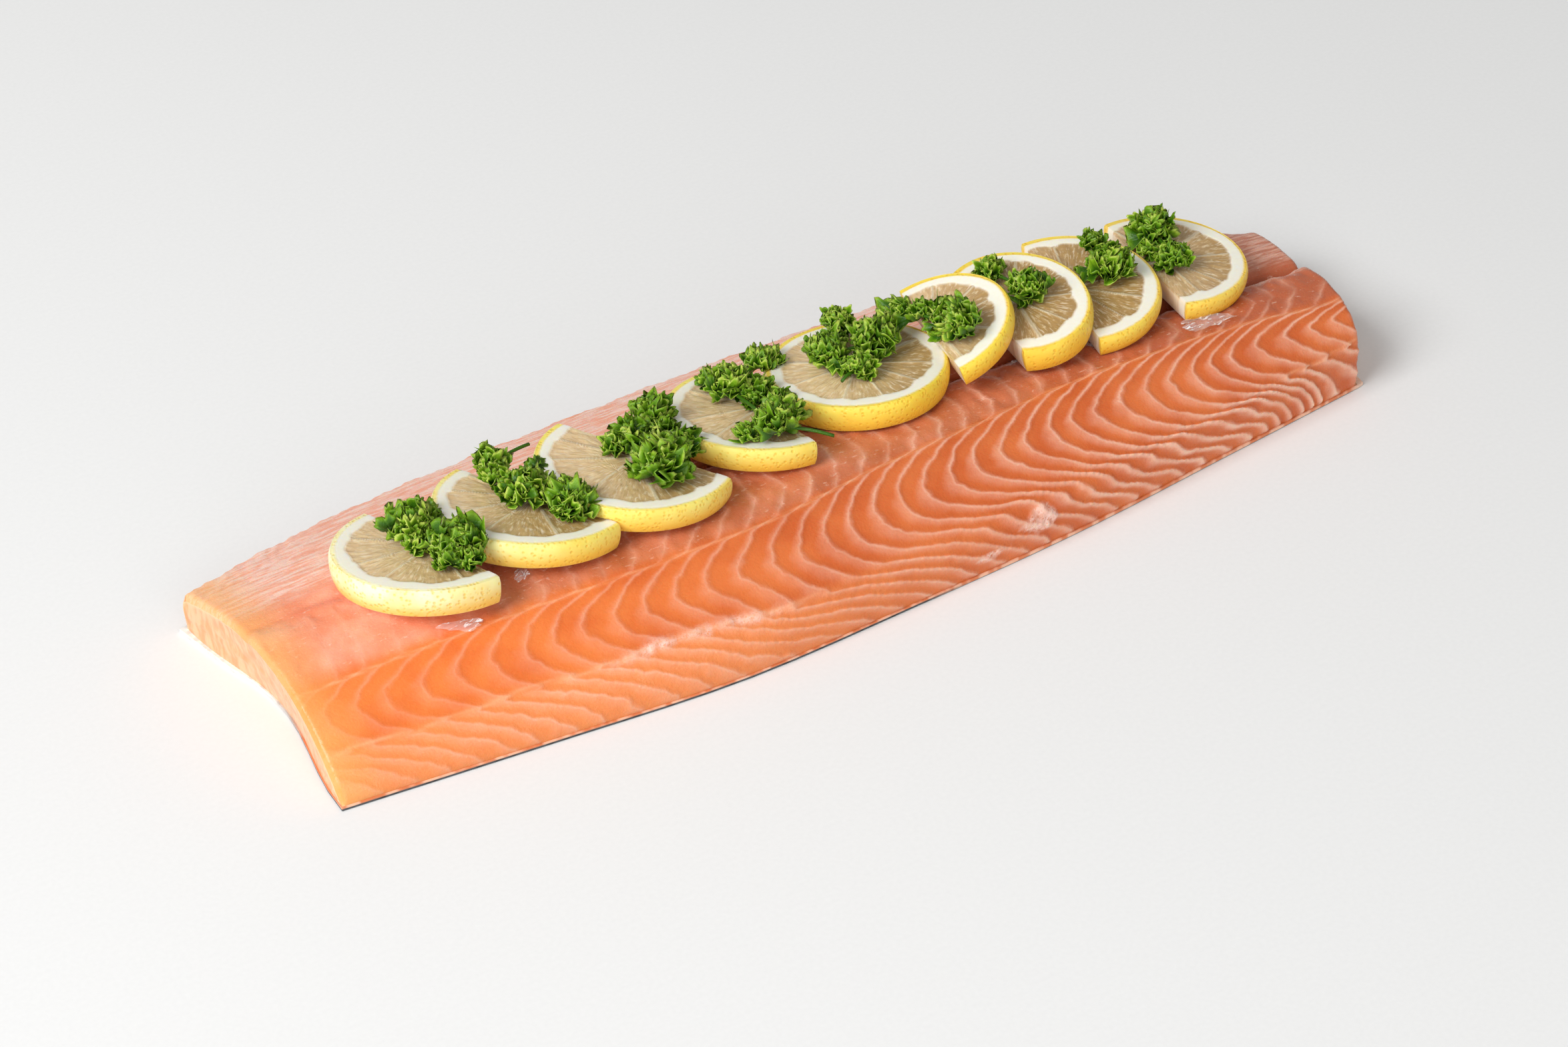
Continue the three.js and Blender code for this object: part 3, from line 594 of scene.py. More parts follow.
# Shape of the fillet
def side_point(x, angle):
    """Point of the loin's rounded side at an angle from its foot, 0, to its crest, 90."""
    cosine = np.cos(np.radians(angle)).clip(0)
    sine = np.sin(np.radians(angle)).clip(0)
    y = CREST_LINE(x) - (CREST_LINE(x) - LOIN_EDGE(x)) * cosine ** (2 / SIDE_ROUNDNESS(x))
    z = SKIN_THICKNESS + (CREST_HEIGHT(x) - SKIN_THICKNESS) * sine ** (2 / SIDE_STEEPNESS(x))
    return y, z


def belly_side_height(x, y):
    """Height of the upper surface between the crest and the belly edge."""
    crest = CREST_LINE(x)
    groove = GROOVE_LINE(x)
    t = np.clip((y - crest) / (groove - crest), 0, 1)
    u = np.clip((y - groove) / (BELLY_EDGE(x) - groove), 0, 1)
    start = CREST_HEIGHT(x) - LIP_DROP(x) - BELLY_DROP(x)
    bulge = BELLY_BULGE(x)
    belly = start + (BELLY_EDGE_HEIGHT(x) - start) * ((1 - bulge) * u + bulge * u**3)
    height = np.where(y < groove, CREST_HEIGHT(x) - LIP_DROP(x) * t**LIP_CURVE, belly)
    return height - GROOVE_DEPTH(x) * mound(y - groove, GROOVE_HALF_WIDTH)


def fillet_height(x, y):
    """Height of the upper surface anywhere on it."""
    across = np.clip((CREST_LINE(x) - y) / (CREST_LINE(x) - LOIN_EDGE(x)), 0, 1)
    loin = CREST_HEIGHT(x) * (1 - across ** SIDE_ROUNDNESS(x)) ** (1 / SIDE_STEEPNESS(x))
    return np.where(y < CREST_LINE(x), loin, belly_side_height(x, y))


def ragged_belly_edge(x):
    return BELLY_EDGE(x) + waves(x, RAGGED_WAVES)


def head_cut_x(y, z):
    """Cut across the head end, hollow towards its foot."""
    across = np.clip((y - HEAD_CUT_Y) / (BELLY_EDGE(HEAD_CUT_X) - HEAD_CUT_Y), 0, 1)
    hollow = HEAD_HOLLOW * (HEAD_HOLLOW_TOP - z) / (HEAD_HOLLOW_TOP - SKIN_THICKNESS)
    return HEAD_CUT_X + HEAD_CUT_SLOPE * (y - HEAD_CUT_Y) + hollow * np.sin(np.pi * across) ** 2


def tail_cut_x(y, z):
    """Straight cut across the tail end, the same at every height."""
    return TAIL_CUT_X + TAIL_CUT_SLOPE * (y - TAIL_CUT_Y) + 0 * z


def even_angles(x):
    """Side angles that divide the loin's side evenly at each place along it, and the whole walk up it."""
    samples = 90 * np.linspace(0, 1, SECTION_SAMPLES) ** 2
    angles = np.zeros((SIDE_ROWS + 1, len(x)))
    walks = np.zeros(len(x))
    for column, place in enumerate(x):
        y, z = side_point(np.full(SECTION_SAMPLES, place), samples)
        walked = np.concatenate([[0], np.cumsum(np.hypot(np.diff(y), np.diff(z)))])
        walks[column] = walked[-1]
        angles[:, column] = np.interp(np.linspace(0, walked[-1], SIDE_ROWS + 1), walked, samples)
    return angles, walks


def flake_fields(x, up, walk):
    """How far up the side a point lies, in turns of the flakes, and the number of the flake it is on."""
    stops = [0 * x, BEND_UP(x), APEX_UP(x), SEAM_UP(x), walk]
    level = sum(np.clip((up - low) / (high - low), 0, 1) for low, high in zip(stops, stops[1:]))
    below = np.clip(1 - level, 0, 1)
    bend = np.clip(2 - level, 0, 1)
    rise = np.clip(level - 2, 0, 1)
    top = np.clip(level - 3, 0, 1)
    run = BEND_RUN(x) * bend ** BEND_CURVE(x) + FOOT_RUN(x) * (1 - (1 - below) ** FOOT_CURVE(x))
    run = run + SEAM_RUN(x) * rise ** SEAM_CURVE(x) + CREST_RUN(x) * top
    return level, FLAKE_NUMBER(x - run)


def flake_profile(number):
    """Height across one flake: a slow rise to its edge and a quick drop past it."""
    part = number - np.floor(number)
    rise = ((part - FLAKE_STEP) / (1 - FLAKE_STEP)) ** 2
    return np.where(part < FLAKE_STEP, eased(part, FLAKE_STEP, 0), rise)


def surface_normals(points):
    """Outward normals of a grid of points, rows across and columns along."""
    normals = np.cross(np.gradient(points, axis=1), np.gradient(points, axis=0))
    return normals / np.linalg.norm(normals, axis=-1, keepdims=True)


def spacing_of(number, points):
    """Millimetres from one flake edge to the next, measured square to the edges."""
    along_x = np.gradient(points, axis=1)
    across = np.gradient(points, axis=0)
    long_square = (along_x * along_x).sum(-1)
    skew = (along_x * across).sum(-1)
    wide_square = (across * across).sum(-1)
    step = np.gradient(number, axis=1)
    climb = np.gradient(number, axis=0)
    slope = wide_square * step * step - 2 * skew * step * climb + long_square * climb * climb
    slope = slope / np.maximum(long_square * wide_square - skew * skew, 1e-9)
    return 1 / np.sqrt(np.maximum(slope, 1e-4))


def fillet_surface():
    """Upper surface of the flesh as a grid of points, and where each lies up the side or past the crest."""
    share = np.linspace(0, 1, COLUMNS + 1)
    nominal = HEAD_CUT_X + (TAIL_CUT_X - HEAD_CUT_X) * share
    side_angle, walk = even_angles(nominal)
    counts = (TOP_ROWS, BELLY_ROWS, EDGE_ROWS)
    top_part, belly_part, edge_part = (np.linspace(0, 1, n + 1)[1:, None] + 0 * share for n in counts)
    rows = SIDE_ROWS + 1 + sum(counts)
    x = np.repeat(nominal[None, :], rows, 0)
    for _ in range(CUT_FITTING_ROUNDS):
        side_x, top_x, belly_x, edge_x = np.split(x, np.cumsum([SIDE_ROWS + 1, TOP_ROWS, BELLY_ROWS]))
        side_y, side_z = side_point(side_x, side_angle)
        top_y = CREST_LINE(top_x) + top_part * (GROOVE_LINE(top_x) - CREST_LINE(top_x))
        top_z = belly_side_height(top_x, top_y)
        edge = ragged_belly_edge(belly_x)
        belly_y = GROOVE_LINE(belly_x) + BELLY_BROW * belly_part * (edge - GROOVE_LINE(belly_x))
        belly_z = belly_side_height(belly_x, belly_y)
        outer = ragged_belly_edge(edge_x)
        inner = GROOVE_LINE(edge_x) + BELLY_BROW * (outer - GROOVE_LINE(edge_x))
        brow = belly_side_height(edge_x, inner)
        shoulder = SKIN_THICKNESS + EDGE_SHOULDER * (BELLY_EDGE_HEIGHT(edge_x) - SKIN_THICKNESS)
        turn = np.clip(2 * edge_part, 0, 1) * np.pi / 2
        fall = np.clip(2 * edge_part - 1, 0, 1)
        edge_y = inner + (outer - inner) * np.sin(turn) - BELLY_UNDERCUT * fall
        edge_z = shoulder + (brow - shoulder) * np.cos(turn) - (shoulder - SKIN_THICKNESS) * fall
        y = np.concatenate([side_y, top_y, belly_y, edge_y])
        z = np.concatenate([side_z, top_z, belly_z, edge_z])
        x = head_cut_x(y, z) + (tail_cut_x(y, z) - head_cut_x(y, z)) * share
    points = np.stack([x, y, z], -1)
    climb = np.concatenate([np.linspace(0, 1, SIDE_ROWS + 1), np.ones(rows - SIDE_ROWS - 1)])[:, None]
    up = climb * walk
    beyond = np.concatenate([0 * side_x, top_part, 1 + belly_part, 2 + edge_part])
    return points, up, walk + 0 * up, beyond


def torn_flesh(x, up):
    """Where the flesh of the side is torn, from 0 to 1."""
    torn = np.zeros_like(x)
    for patch_x, patch_up, half_long, half_high in TORN_PATCHES:
        off = ((x - patch_x) / half_long) ** 2 + ((up - patch_up) / half_high) ** 2
        off = off * (1 + 0.7 * value_noise(x, up, cell=3.1, seed=11))
        torn = np.maximum(torn, eased(off, *TORN_MARGIN))
    ridge_x, ridge_long = TORN_RIDGE
    tufts = 0.5 + 0.5 * value_noise(x, 0.3 * up, cell=2.2, seed=12)
    lie = up - BEND_UP(x) - 0.8 * value_noise(x, 0 * x, cell=5, seed=13)
    ridge = mound(((x - ridge_x) / ridge_long) ** 2, 1) * mound(lie, 0.7 + 1.3 * tufts)
    return np.maximum(torn, ridge * (0.45 + 0.75 * tufts))


def uneven_flakes(number, level, foot, ragged, x, over, patchy):
    """Flake number with wobbling edges, a step at the midline and the bend, and waves along the foot."""
    for share, cell, seed in FLAKE_WOBBLES:
        number = number + share * value_noise(x, over, cell, seed)
    number = number - RIDGE_OFFSET * eased(level, *RIDGE_LEVELS)
    number = number + LOWER_OFFSET * ragged * eased(level, *BEND_LEVELS)
    number = number + RAGGED_WOBBLE * foot * ragged * value_noise(x, over, cell=3.4, seed=17)
    below = np.clip(1 - level, 0, 1)
    waving = eased(x, *WAVES_START) * eased(x, *WAVES_END) * (0.6 + 0.8 * patchy)
    return number - FOOT_WAVE * waving * np.sin(FOOT_WAVES * np.pi * below) * (1 - below)


def flake_lines(x, foot, side, above, patchy):
    """Strength of the pale lines between the flakes."""
    top_lines = above * (0.25 + 0.65 * patchy) * (1 - 0.3 * eased(x, *TOP_LINES_FADE))
    line = LINE_STRENGTH(x) * (side * (0.6 + 0.4 * patchy) + top_lines)
    return line * (1 + 0.45 * foot * (eased(x, *TAIL_LINES) + eased(x, *HEAD_LINES)))


def fillet_fields(points, up, walk, beyond):
    """Relief of the flesh above its even surface, and what its material needs to know at each point."""
    x, y, z = np.moveaxis(points, -1, 0)
    over = y + z
    past_groove = y - GROOVE_LINE(x)
    on_side = beyond == 0
    patchy = 0.5 + 0.5 * value_noise(x, over, cell=5, seed=14)
    ragged = np.maximum(eased(x, *RAGGED_HEAD), eased(x, *RAGGED_TAIL))
    level, number = flake_fields(x, up, walk)
    foot = eased(level, *FOOT_LEVELS)
    number = uneven_flakes(number, level, foot, ragged, x, over, patchy)
    side = eased(level, *SIDE_LEVELS)
    above = eased(level, *ABOVE_LEVELS) * eased(beyond, *ABOVE_ENDS)
    wet = above + eased(beyond, *WET_STARTS) * eased(beyond, *WET_ENDS)
    belly = eased(beyond, *BELLY_STARTS)
    scales = eased(beyond, *SCALES_START) * eased(x, *SCALES_FADE)
    held = eased(beyond, *RELIEF_ENDS)

    torn = torn_flesh(x, up) * on_side
    seam = mound(up - SEAM_UP(x), SEAM_HALF_WIDTH) * on_side * (0.4 + 0.6 * patchy)
    lie = up - BEND_UP(x) - LOWER_SEAM_RISE - 0.9 * value_noise(x, 0 * x, cell=6, seed=18)
    lower_seam = mound(lie, 0.3 + 0.35 * patchy) * ragged * (0.35 + 0.65 * patchy) * on_side
    lip = mound(past_groove + LIP_INSET, LIP_HALF_WIDTH) * (beyond > 0) * eased(x, *LIP_STARTS)
    lip = lip * (0.35 + 0.65 * eased(x, *LIP_FULL))
    crease = mound(past_groove + CREASE_INSET, CREASE_HALF_WIDTH) * (level > CREASE_LEVEL)
    crease = crease * eased(x, *CREASE_FADES)
    streaks = value_noise(0.14 * x, y + 0.05 * x, cell=2.1, seed=7)
    streaks += 0.7 * value_noise(0.25 * x, y - 0.04 * x, cell=0.95, seed=8)
    scaly = value_noise(0.35 * (x + 1.2 * y), x - 0.8 * y, cell=1.9, seed=9)

    high = foot * FOOT_RELIEF(x) + (1 - foot) * LOIN_RELIEF(x)
    relief = high * flake_profile(number) * (side * eased(up, *FLAKES_START) + 0.5 * above * patchy)
    relief += torn * (0.2 + 0.3 * value_noise(x, over, cell=1.3, seed=3)) * eased(up, *TORN_STARTS)
    relief += SEAM_RELIEF * seam + LOWER_SEAM_RELIEF * lower_seam
    ripples = RIPPLE_RELIEF * value_noise(x, y, cell=6, seed=4)
    ripples += FINE_RIPPLE_RELIEF * value_noise(x, 0.6 * y, cell=2.4, seed=5)
    relief += wet * ripples + lip * (0.3 + 0.5 * value_noise(x, y, cell=2.2, seed=6))
    relief += held * (belly * STREAK_RELIEF * streaks + scales * SCALE_RELIEF * scaly)
    ends = np.minimum(x - head_cut_x(y, z), tail_cut_x(y, z) - x)
    corner = np.clip(1 - ends / END_ROUNDING, 0, 1)
    relief -= END_ROUNDING * (1 - np.sqrt(1 - corner**2)) * held

    pale = np.clip(torn * (0.7 + 0.5 * value_noise(x, over, cell=1.1, seed=15)), 0, 1)
    pale = np.maximum(pale, lip * (0.4 + 0.5 * patchy))
    pale = np.maximum(pale, 0.4 * scales * eased(scaly, 0.15, 0.6))
    fields = {
        "flake": number,
        "spacing": spacing_of(number, points),
        "line": flake_lines(x, foot, side, above, patchy),
        # painted light: the foot paler towards the head end
        "foot": foot * eased(x, *LIT_FOOT),
        "broad": foot * eased(x, *BROAD_FOOT) * on_side,
        "wide": eased(level, *WIDE_LEVELS),
        "seam": np.maximum(seam, lower_seam),
        "pale": pale,
        "top": eased(level, *TOP_LEVELS),
        "belly": belly,
        "crease": crease,
    }
    return relief, fields


def cut_face(boundary, wall_start, cut_x, seed):
    """Points inside an end face, from its upper edge down to the skin, but for its foot and its wall."""
    y = boundary[:wall_start + 1, 1]
    z = boundary[:wall_start + 1, 2]
    foot_y = y[0] + (boundary[-1, 1] - y[0]) * (y - y[0]) / (y[-1] - y[0])
    part = np.arange(1, EDGE_ROWS + 1)[None, :] / EDGE_ROWS
    face_y = y[:, None] + (foot_y - y)[:, None] * part
    face_z = z[:, None] + (SKIN_THICKNESS - z)[:, None] * part
    rough = CUT_RELIEF * value_noise(face_y, 2.5 * face_z, cell=4, seed=seed) * np.sin(np.pi * part)
    face = np.stack([cut_x(face_y, face_z) + rough, face_y, face_z], -1)
    depth = z[:, None] - face_z
    return face[1:wall_start], depth[1:wall_start]


def fillet_piece(flesh, cut):
    points, up, walk, beyond = fillet_surface()
    relief, fields = fillet_fields(points, up, walk, beyond)
    relief[0] = 0
    relief[-1] = 0
    points = points + relief[..., None] * surface_normals(points)
    rows, columns = relief.shape
    wall = rows - 1 - EDGE_ROWS
    all_points = [points.reshape(-1, 3)]
    depths = [np.zeros(relief.size)]
    values = {name: [field.ravel()] for name, field in fields.items()}
    faces = grid_faces(rows, columns)
    surface_count = len(faces)
    feet = []
    for column, cut_x, seed in ((0, head_cut_x, 20), (columns - 1, tail_cut_x, 21)):
        face, depth = cut_face(points[:, column], wall, cut_x, seed)
        start = sum(len(part) for part in all_points)
        all_points.append(face.reshape(-1, 3))
        depths.append(depth.ravel())
        for name in fields:
            values[name].append(np.repeat(fields[name][1:wall, column], EDGE_ROWS))
        corner = np.zeros((wall + 1, EDGE_ROWS + 1), int)
        corner[0] = column
        corner[1:wall, 0] = np.arange(1, wall) * columns + column
        corner[1:wall, 1:] = start + np.arange((wall - 1) * EDGE_ROWS).reshape(wall - 1, EDGE_ROWS)
        corner[wall] = np.arange(wall, rows) * columns + column
        outward = -1 if column == 0 else 1
        faces += [face[::outward] for face in quads_of(corner.T)]
        feet.append(corner[:, -1])
    placed = np.concatenate(all_points)
    belly_foot = range(rows * columns - 2, (rows - 1) * columns, -1)
    under = [*range(columns - 1), *feet[1], *belly_foot, *feet[0][:0:-1]]
    for triple in tessellate_polygon([[Vector(placed[k]) for k in under]]):
        a, b, c = (under[k] for k in triple)
        turned = np.cross(placed[b] - placed[a], placed[c] - placed[a])[2]
        faces.append([a, b, c] if turned < 0 else [a, c, b])
    kinds = np.ones(len(faces), int)
    kinds[:surface_count] = 0
    merged = {name: np.concatenate(parts) for name, parts in values.items()}
    merged["depth"] = np.concatenate(depths)
    make_piece("salmon", placed, faces, [flesh, cut], ["fillet"], merged, kinds, SHARP_ANGLE)


# Lemon slices
def slice_turn(number):
    slope = SLICES[number][2]
    return np.array(Vector((0, 0, 1)).rotation_difference(Vector((*slope, 1)).normalized()).to_matrix())


def slice_outline(number, grow):
    """Rim of a slice in its own plane: an arc of rind and, on a cut slice, the straight cut."""
    _, half, _, _, cut, _ = SLICES[number]
    radii = np.array(half) + np.reshape(grow, (-1, 1))
    start, end = np.radians(cut or (0, 360))
    count = SLICE_ROUND + (0 if cut else SLICE_CUT_POINTS)
    angles = np.linspace(start, end, count, endpoint=bool(cut))
    arc = np.stack([np.outer(radii[:, 0], np.cos(angles)), np.outer(radii[:, 1], np.sin(angles))], -1)
    if not cut:
        return arc
    step = np.linspace(0, 1, SLICE_CUT_POINTS + 2)[1:-1, None]
    straight = arc[:, -1:, :] * (1 - step) + arc[:, :1, :] * step
    return np.concatenate([arc, straight], 1)


def slice_centre(number):
    """Centre of a slice's top face, its height set by the solid's highest point."""
    place, _, _, thickness, _, _ = SLICES[number]
    parts = np.linspace(-1, 0, SLICE_SIDE_LEVELS)
    rims = slice_outline(number, SLICE_BULGE * SLICE_FULLNESS(parts))
    depths = np.broadcast_to((parts * thickness)[:, None, None], rims.shape[:2] + (1,))
    flat = np.concatenate([rims, depths], -1)
    highest = (flat @ slice_turn(number).T)[..., 2].max()
    return np.array([*place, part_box(f"lemon_{number}")[1].z / MM - highest])


def slice_inside(number, points):
    """Points in a slice's own plane, and whether they lie within its rim and thickness."""
    local = (points - slice_centre(number)) @ slice_turn(number)
    _, half, _, thickness, cut, _ = SLICES[number]
    inside = (local[:, 0] / (half[0] + SLICE_BULGE)) ** 2 + (local[:, 1] / (half[1] + SLICE_BULGE)) ** 2 < 1
    inside &= (local[:, 2] < SLICE_GAP) & (local[:, 2] > -thickness - SLICE_GAP)
    if cut:
        ends = [np.array([half[0] * math.cos(d), half[1] * math.sin(d)]) for d in np.radians(cut)]
        edge = ends[1] - ends[0]
        off = edge[0] * (local[:, 1] - ends[0][1]) - edge[1] * (local[:, 0] - ends[0][0])
        inside &= off / np.hypot(*edge) < SLICE_GAP
    return local, inside


def above_slices(points, numbers):
    """Points lifted out of the slices they would sink into, on to their top faces."""
    points = points.copy()
    for number in numbers:
        local, inside = slice_inside(number, points)
        local[inside, 2] = SLICE_GAP
        points[inside] = (local[inside] @ slice_turn(number).T) + slice_centre(number)
    return points


def segment_field(number, u, v):
    """At points of a slice's plane: millimetres inside the pith, off the nearest membrane and past the inner
    edge of the zest, and the grain of the pulp."""
    _, half, _, _, cut, _ = SLICES[number]
    size = (half[0] + half[1]) / 2
    middle = math.radians(sum(cut) / 2 if cut else WHOLE_SLICE_TURN)
    round_u = u / half[0]
    round_v = v / half[1]
    share = np.hypot(round_u, round_v)
    angle = (np.arctan2(round_v, round_u) - middle + np.pi) % (2 * np.pi) - np.pi
    reach = share * size
    count = SEGMENTS[number]
    uneven = SEGMENT_TURN * number + waves(angle, [(0.16, 2, number), (0.1, 5, 0)])
    turns = angle * count / (2 * np.pi) + uneven
    part = turns - np.floor(turns)
    beside = reach * np.sin(np.minimum(part, 1 - part) * 2 * np.pi / count) - MEMBRANE
    within = size - PITH - ZEST - reach + waves(angle, [(0.35, 7, number), (0.25, 17, 0)])
    overlap = np.maximum(SEGMENT_ROUNDING - np.abs(beside - within), 0) / SEGMENT_ROUNDING
    depth = np.minimum(within, reach - CORE) - overlap**2 * SEGMENT_ROUNDING / 4
    across = GRAIN_ACROSS * angle * size + SEGMENT_SHIFT * np.floor(turns)
    grain = np.stack([across, GRAIN_ALONG * reach + SLICE_SHIFT * number, 0 * reach], -1)
    zest = ZEST + (ZEST_FAR - ZEST) * np.clip(round_v / np.maximum(share, 0.01), 0, 1)
    return depth, beside, reach - size + zest, grain


def lemon_piece(number, lemon):
    _, half, _, thickness, _, under = SLICES[number]
    rim = slice_outline(number, [0.0])[0]
    hub = rim.mean(0)
    count = len(rim)
    top_scale = np.linspace(1, 0, SLICE_TOP_RINGS + 1)[:-1] ** TOP_RING_POWER
    under_scale = np.linspace(1, 0, SLICE_UNDER_RINGS + 1)[:-1]
    parts = -np.linspace(0, 1, SLICE_SIDE_LEVELS) ** SIDE_LEVEL_POWER
    rings = []
    for scale in top_scale[::-1]:
        rings.append(np.column_stack([hub + scale * (rim - hub), np.zeros(count)]))
    for part, ring in zip(parts[1:], slice_outline(number, SLICE_BULGE * SLICE_FULLNESS(parts[1:]))):
        rings.append(np.column_stack([ring, np.full(count, part * thickness)]))
    bottom = rings[-1]
    for scale in under_scale[1:]:
        rings.append(np.column_stack([hub + scale * (bottom[:, :2] - hub), bottom[:, 2]]))
    flat = np.concatenate(rings + [[[*hub, 0.0]], [[*hub, -thickness]]])
    depth, membrane, zest, grain = segment_field(number, flat[:, 0], flat[:, 1])
    on_top = flat[:, 2] > -1e-6
    pulp = eased(np.minimum(depth, membrane), *PULP_EDGE)
    vesicles = value_noise(grain[:, 0], grain[:, 1], VESICLE, VESICLE_SEED + number) * pulp
    rounded = RIND_ROUNDING * eased(zest, 0, ZEST)
    flat[:, 2] += on_top * (VESICLE_RELIEF * vesicles - PULP_SUNK * pulp - rounded)
    points = flat @ slice_turn(number).T + slice_centre(number)
    points = above_slices(points, under)
    faces = [face[::-1] for face in capped_faces(len(rings), count)]
    low = np.clip(-flat[:, 2] / thickness, 0, 1)
    # Painted shade: the pulp darker towards +x and the near side of the slice, and per slice
    pulp_shade = DIM_ALONG * flat[:, 0] / half[0] - DIM_ACROSS * flat[:, 1] / half[1] + PULP_DARKER.get(number, 0)
    fields = {"pulp": depth, "membrane": membrane, "zest": zest, "grain": grain, "low": low, "pulp_shade": pulp_shade}
    name = f"lemon_slice_{number}"
    replaced = [f"lemon_{number}"]
    make_piece(name, points, faces, [lemon], replaced, fields, sharp_angle=SHARP_ANGLE)


# Parsley
def leaflet_mesh(rng, count, curls):
    """Local points of many ruffled, lobed leaflets and how near the margin each lies, from 0 to 1."""
    turn = np.linspace(-LEAFLET_SPREAD, LEAFLET_SPREAD, LEAFLET_ROUND)
    reach = LEAFLET_REACH

    def vary(low, high):
        return rng.uniform(low, high, (count, 1))

    lobes = 1 - LOBE_DEPTH + LOBE_DEPTH * np.abs(np.cos(np.pi * turn / LOBE_ANGLE)) ** 0.6
    saw = np.abs(np.sin(np.pi * (turn / TOOTH_ANGLE + vary(0, 1)))) ** 0.7
    teeth = (1 - TOOTH_DEPTH + TOOTH_DEPTH * saw) * rng.uniform(0.95, 1.05, (count, LEAFLET_ROUND))
    ruffle = np.sin(turn * vary(*RUFFLE_RATE) + vary(0, 2 * np.pi))
    frill = np.sin(turn * vary(*FRILL_RATE) + vary(0, 2 * np.pi))
    curl = vary(*curls)
    flat = vary(*LEAF_RUFFLING)
    out = reach * lobes[None, :, None] * (1 + reach**2 * (teeth[..., None] - 1))
    length = out * np.cos(turn)[None, :, None]
    width = out * np.sin(turn)[None, :, None]
    lift = reach**2 * (curl + RUFFLE * flat * ruffle)[..., None]
    lift += reach**3 * (FRILL * flat * frill)[..., None]
    lift += TOOTH_LIFT * reach**4 * saw[..., None] - LEAF_DROOP * width**2
    upper = np.stack([length, width, lift], -1)
    return upper, np.broadcast_to(reach**3, upper.shape[:-1])


def leaflet_faces():
    """Faces of one shell, in loops from its base out along the upper side and back along the lower."""
    rings = len(LEAFLET_REACH)
    upper = 1 + np.arange(LEAFLET_ROUND * rings).reshape(LEAFLET_ROUND, rings)
    lower = 1 + upper.size + np.arange(LEAFLET_ROUND * (rings - 1)).reshape(LEAFLET_ROUND, rings - 1)
    loops = np.concatenate([np.zeros((LEAFLET_ROUND, 1), int), upper, lower[:, ::-1]], 1)
    faces = quads_of(loops, closed=True)
    for loop, outward in ((loops[0], -1), (loops[-1], 1)):
        for k in range(rings):
            corners = [loop[k], loop[-k], loop[-k - 1], loop[k + 1]]
            faces.append(list(dict.fromkeys(corners))[::outward])
    return faces


def grown_leaflets(base, axis, sideways, size, curls, rng):
    """Leaflets grown from base points along their axes: points, tip and shade values, and faces."""
    count = len(base)
    turn = np.stack([axis, sideways, np.cross(axis, sideways)], 1)[:, None]
    base = base[:, None]
    upper, tip = leaflet_mesh(rng, count, curls)
    upper = upper * size[:, None, None, None]
    top = base[:, None] + upper @ turn
    below = base[:, None] + (upper[:, :, :-1] - np.array([0, 0, LEAF_THICKNESS])) @ turn
    points = np.concatenate([base, top.reshape(count, -1, 3), below.reshape(count, -1, 3)], 1)
    tips = [np.zeros((count, 1)), tip.reshape(count, -1), tip[:, :, :-1].reshape(count, -1)]
    leaf_size = points.shape[1]
    shade = np.repeat(rng.uniform(0, 1, (count, 1)), leaf_size, 1)
    shell = leaflet_faces()
    faces = [[leaf * leaf_size + corner for corner in face] for leaf in range(count) for face in shell]
    return points.reshape(-1, 3), np.concatenate(tips, 1).ravel(), shade.ravel(), faces


def head_leaflets(head, scale, rng):
    """Leaflets of one head, spread over its dome."""
    x, y, radius = head
    count = int(LEAFLETS_A_HEAD + LEAFLETS_A_SQUARE * radius**2 / scale)
    order = (np.arange(count) + 0.5) / count
    polar = np.arccos(1 - DOME_SPREAD * order) + rng.uniform(-0.12, 0.12, count)
    azimuth = np.arange(count) * GOLDEN_TURN + rng.uniform(-0.3, 0.3, count)
    axis = np.stack([np.sin(polar) * np.cos(azimuth), np.sin(polar) * np.sin(azimuth), np.cos(polar)], -1)
    across = np.stack([-np.sin(azimuth), np.cos(azimuth), np.zeros(count)], -1)
    roll = rng.uniform(-LEAF_ROLL, LEAF_ROLL, (count, 1))
    sideways = across * np.cos(roll) + np.cross(axis, across) * np.sin(roll)
    size = scale * (0.4 * radius + 2.5) * rng.uniform(0.75, 1.25, count)
    lump = 1 + waves(azimuth, [(0.13, 2, x), (0.1, 5, y)]) * np.sin(polar)
    start = (0.93 * lump * rng.uniform(0.8, 1.1, count) * radius - 0.9 * size).clip(0.1)
    base = np.array([x, y, SPRIG_CLEARANCE + HEAD_RISE * radius]) + axis * start[:, None]
    return grown_leaflets(base, axis, sideways, size, LEAF_CURL, rng)


def blade_leaflets(blade, rng):
    """One flat blade that leans out of its sprig."""
    x, y, heading, size = blade
    cosine, sine = math.cos(math.radians(heading)), math.sin(math.radians(heading))
    base = np.array([[x, y, BLADE_RISE]])
    axis = np.array([[cosine, sine, BLADE_SLOPE]])
    return grown_leaflets(base, axis, np.array([[-sine, cosine, 0.0]]), np.array([size]), BLADE_CURL, rng)


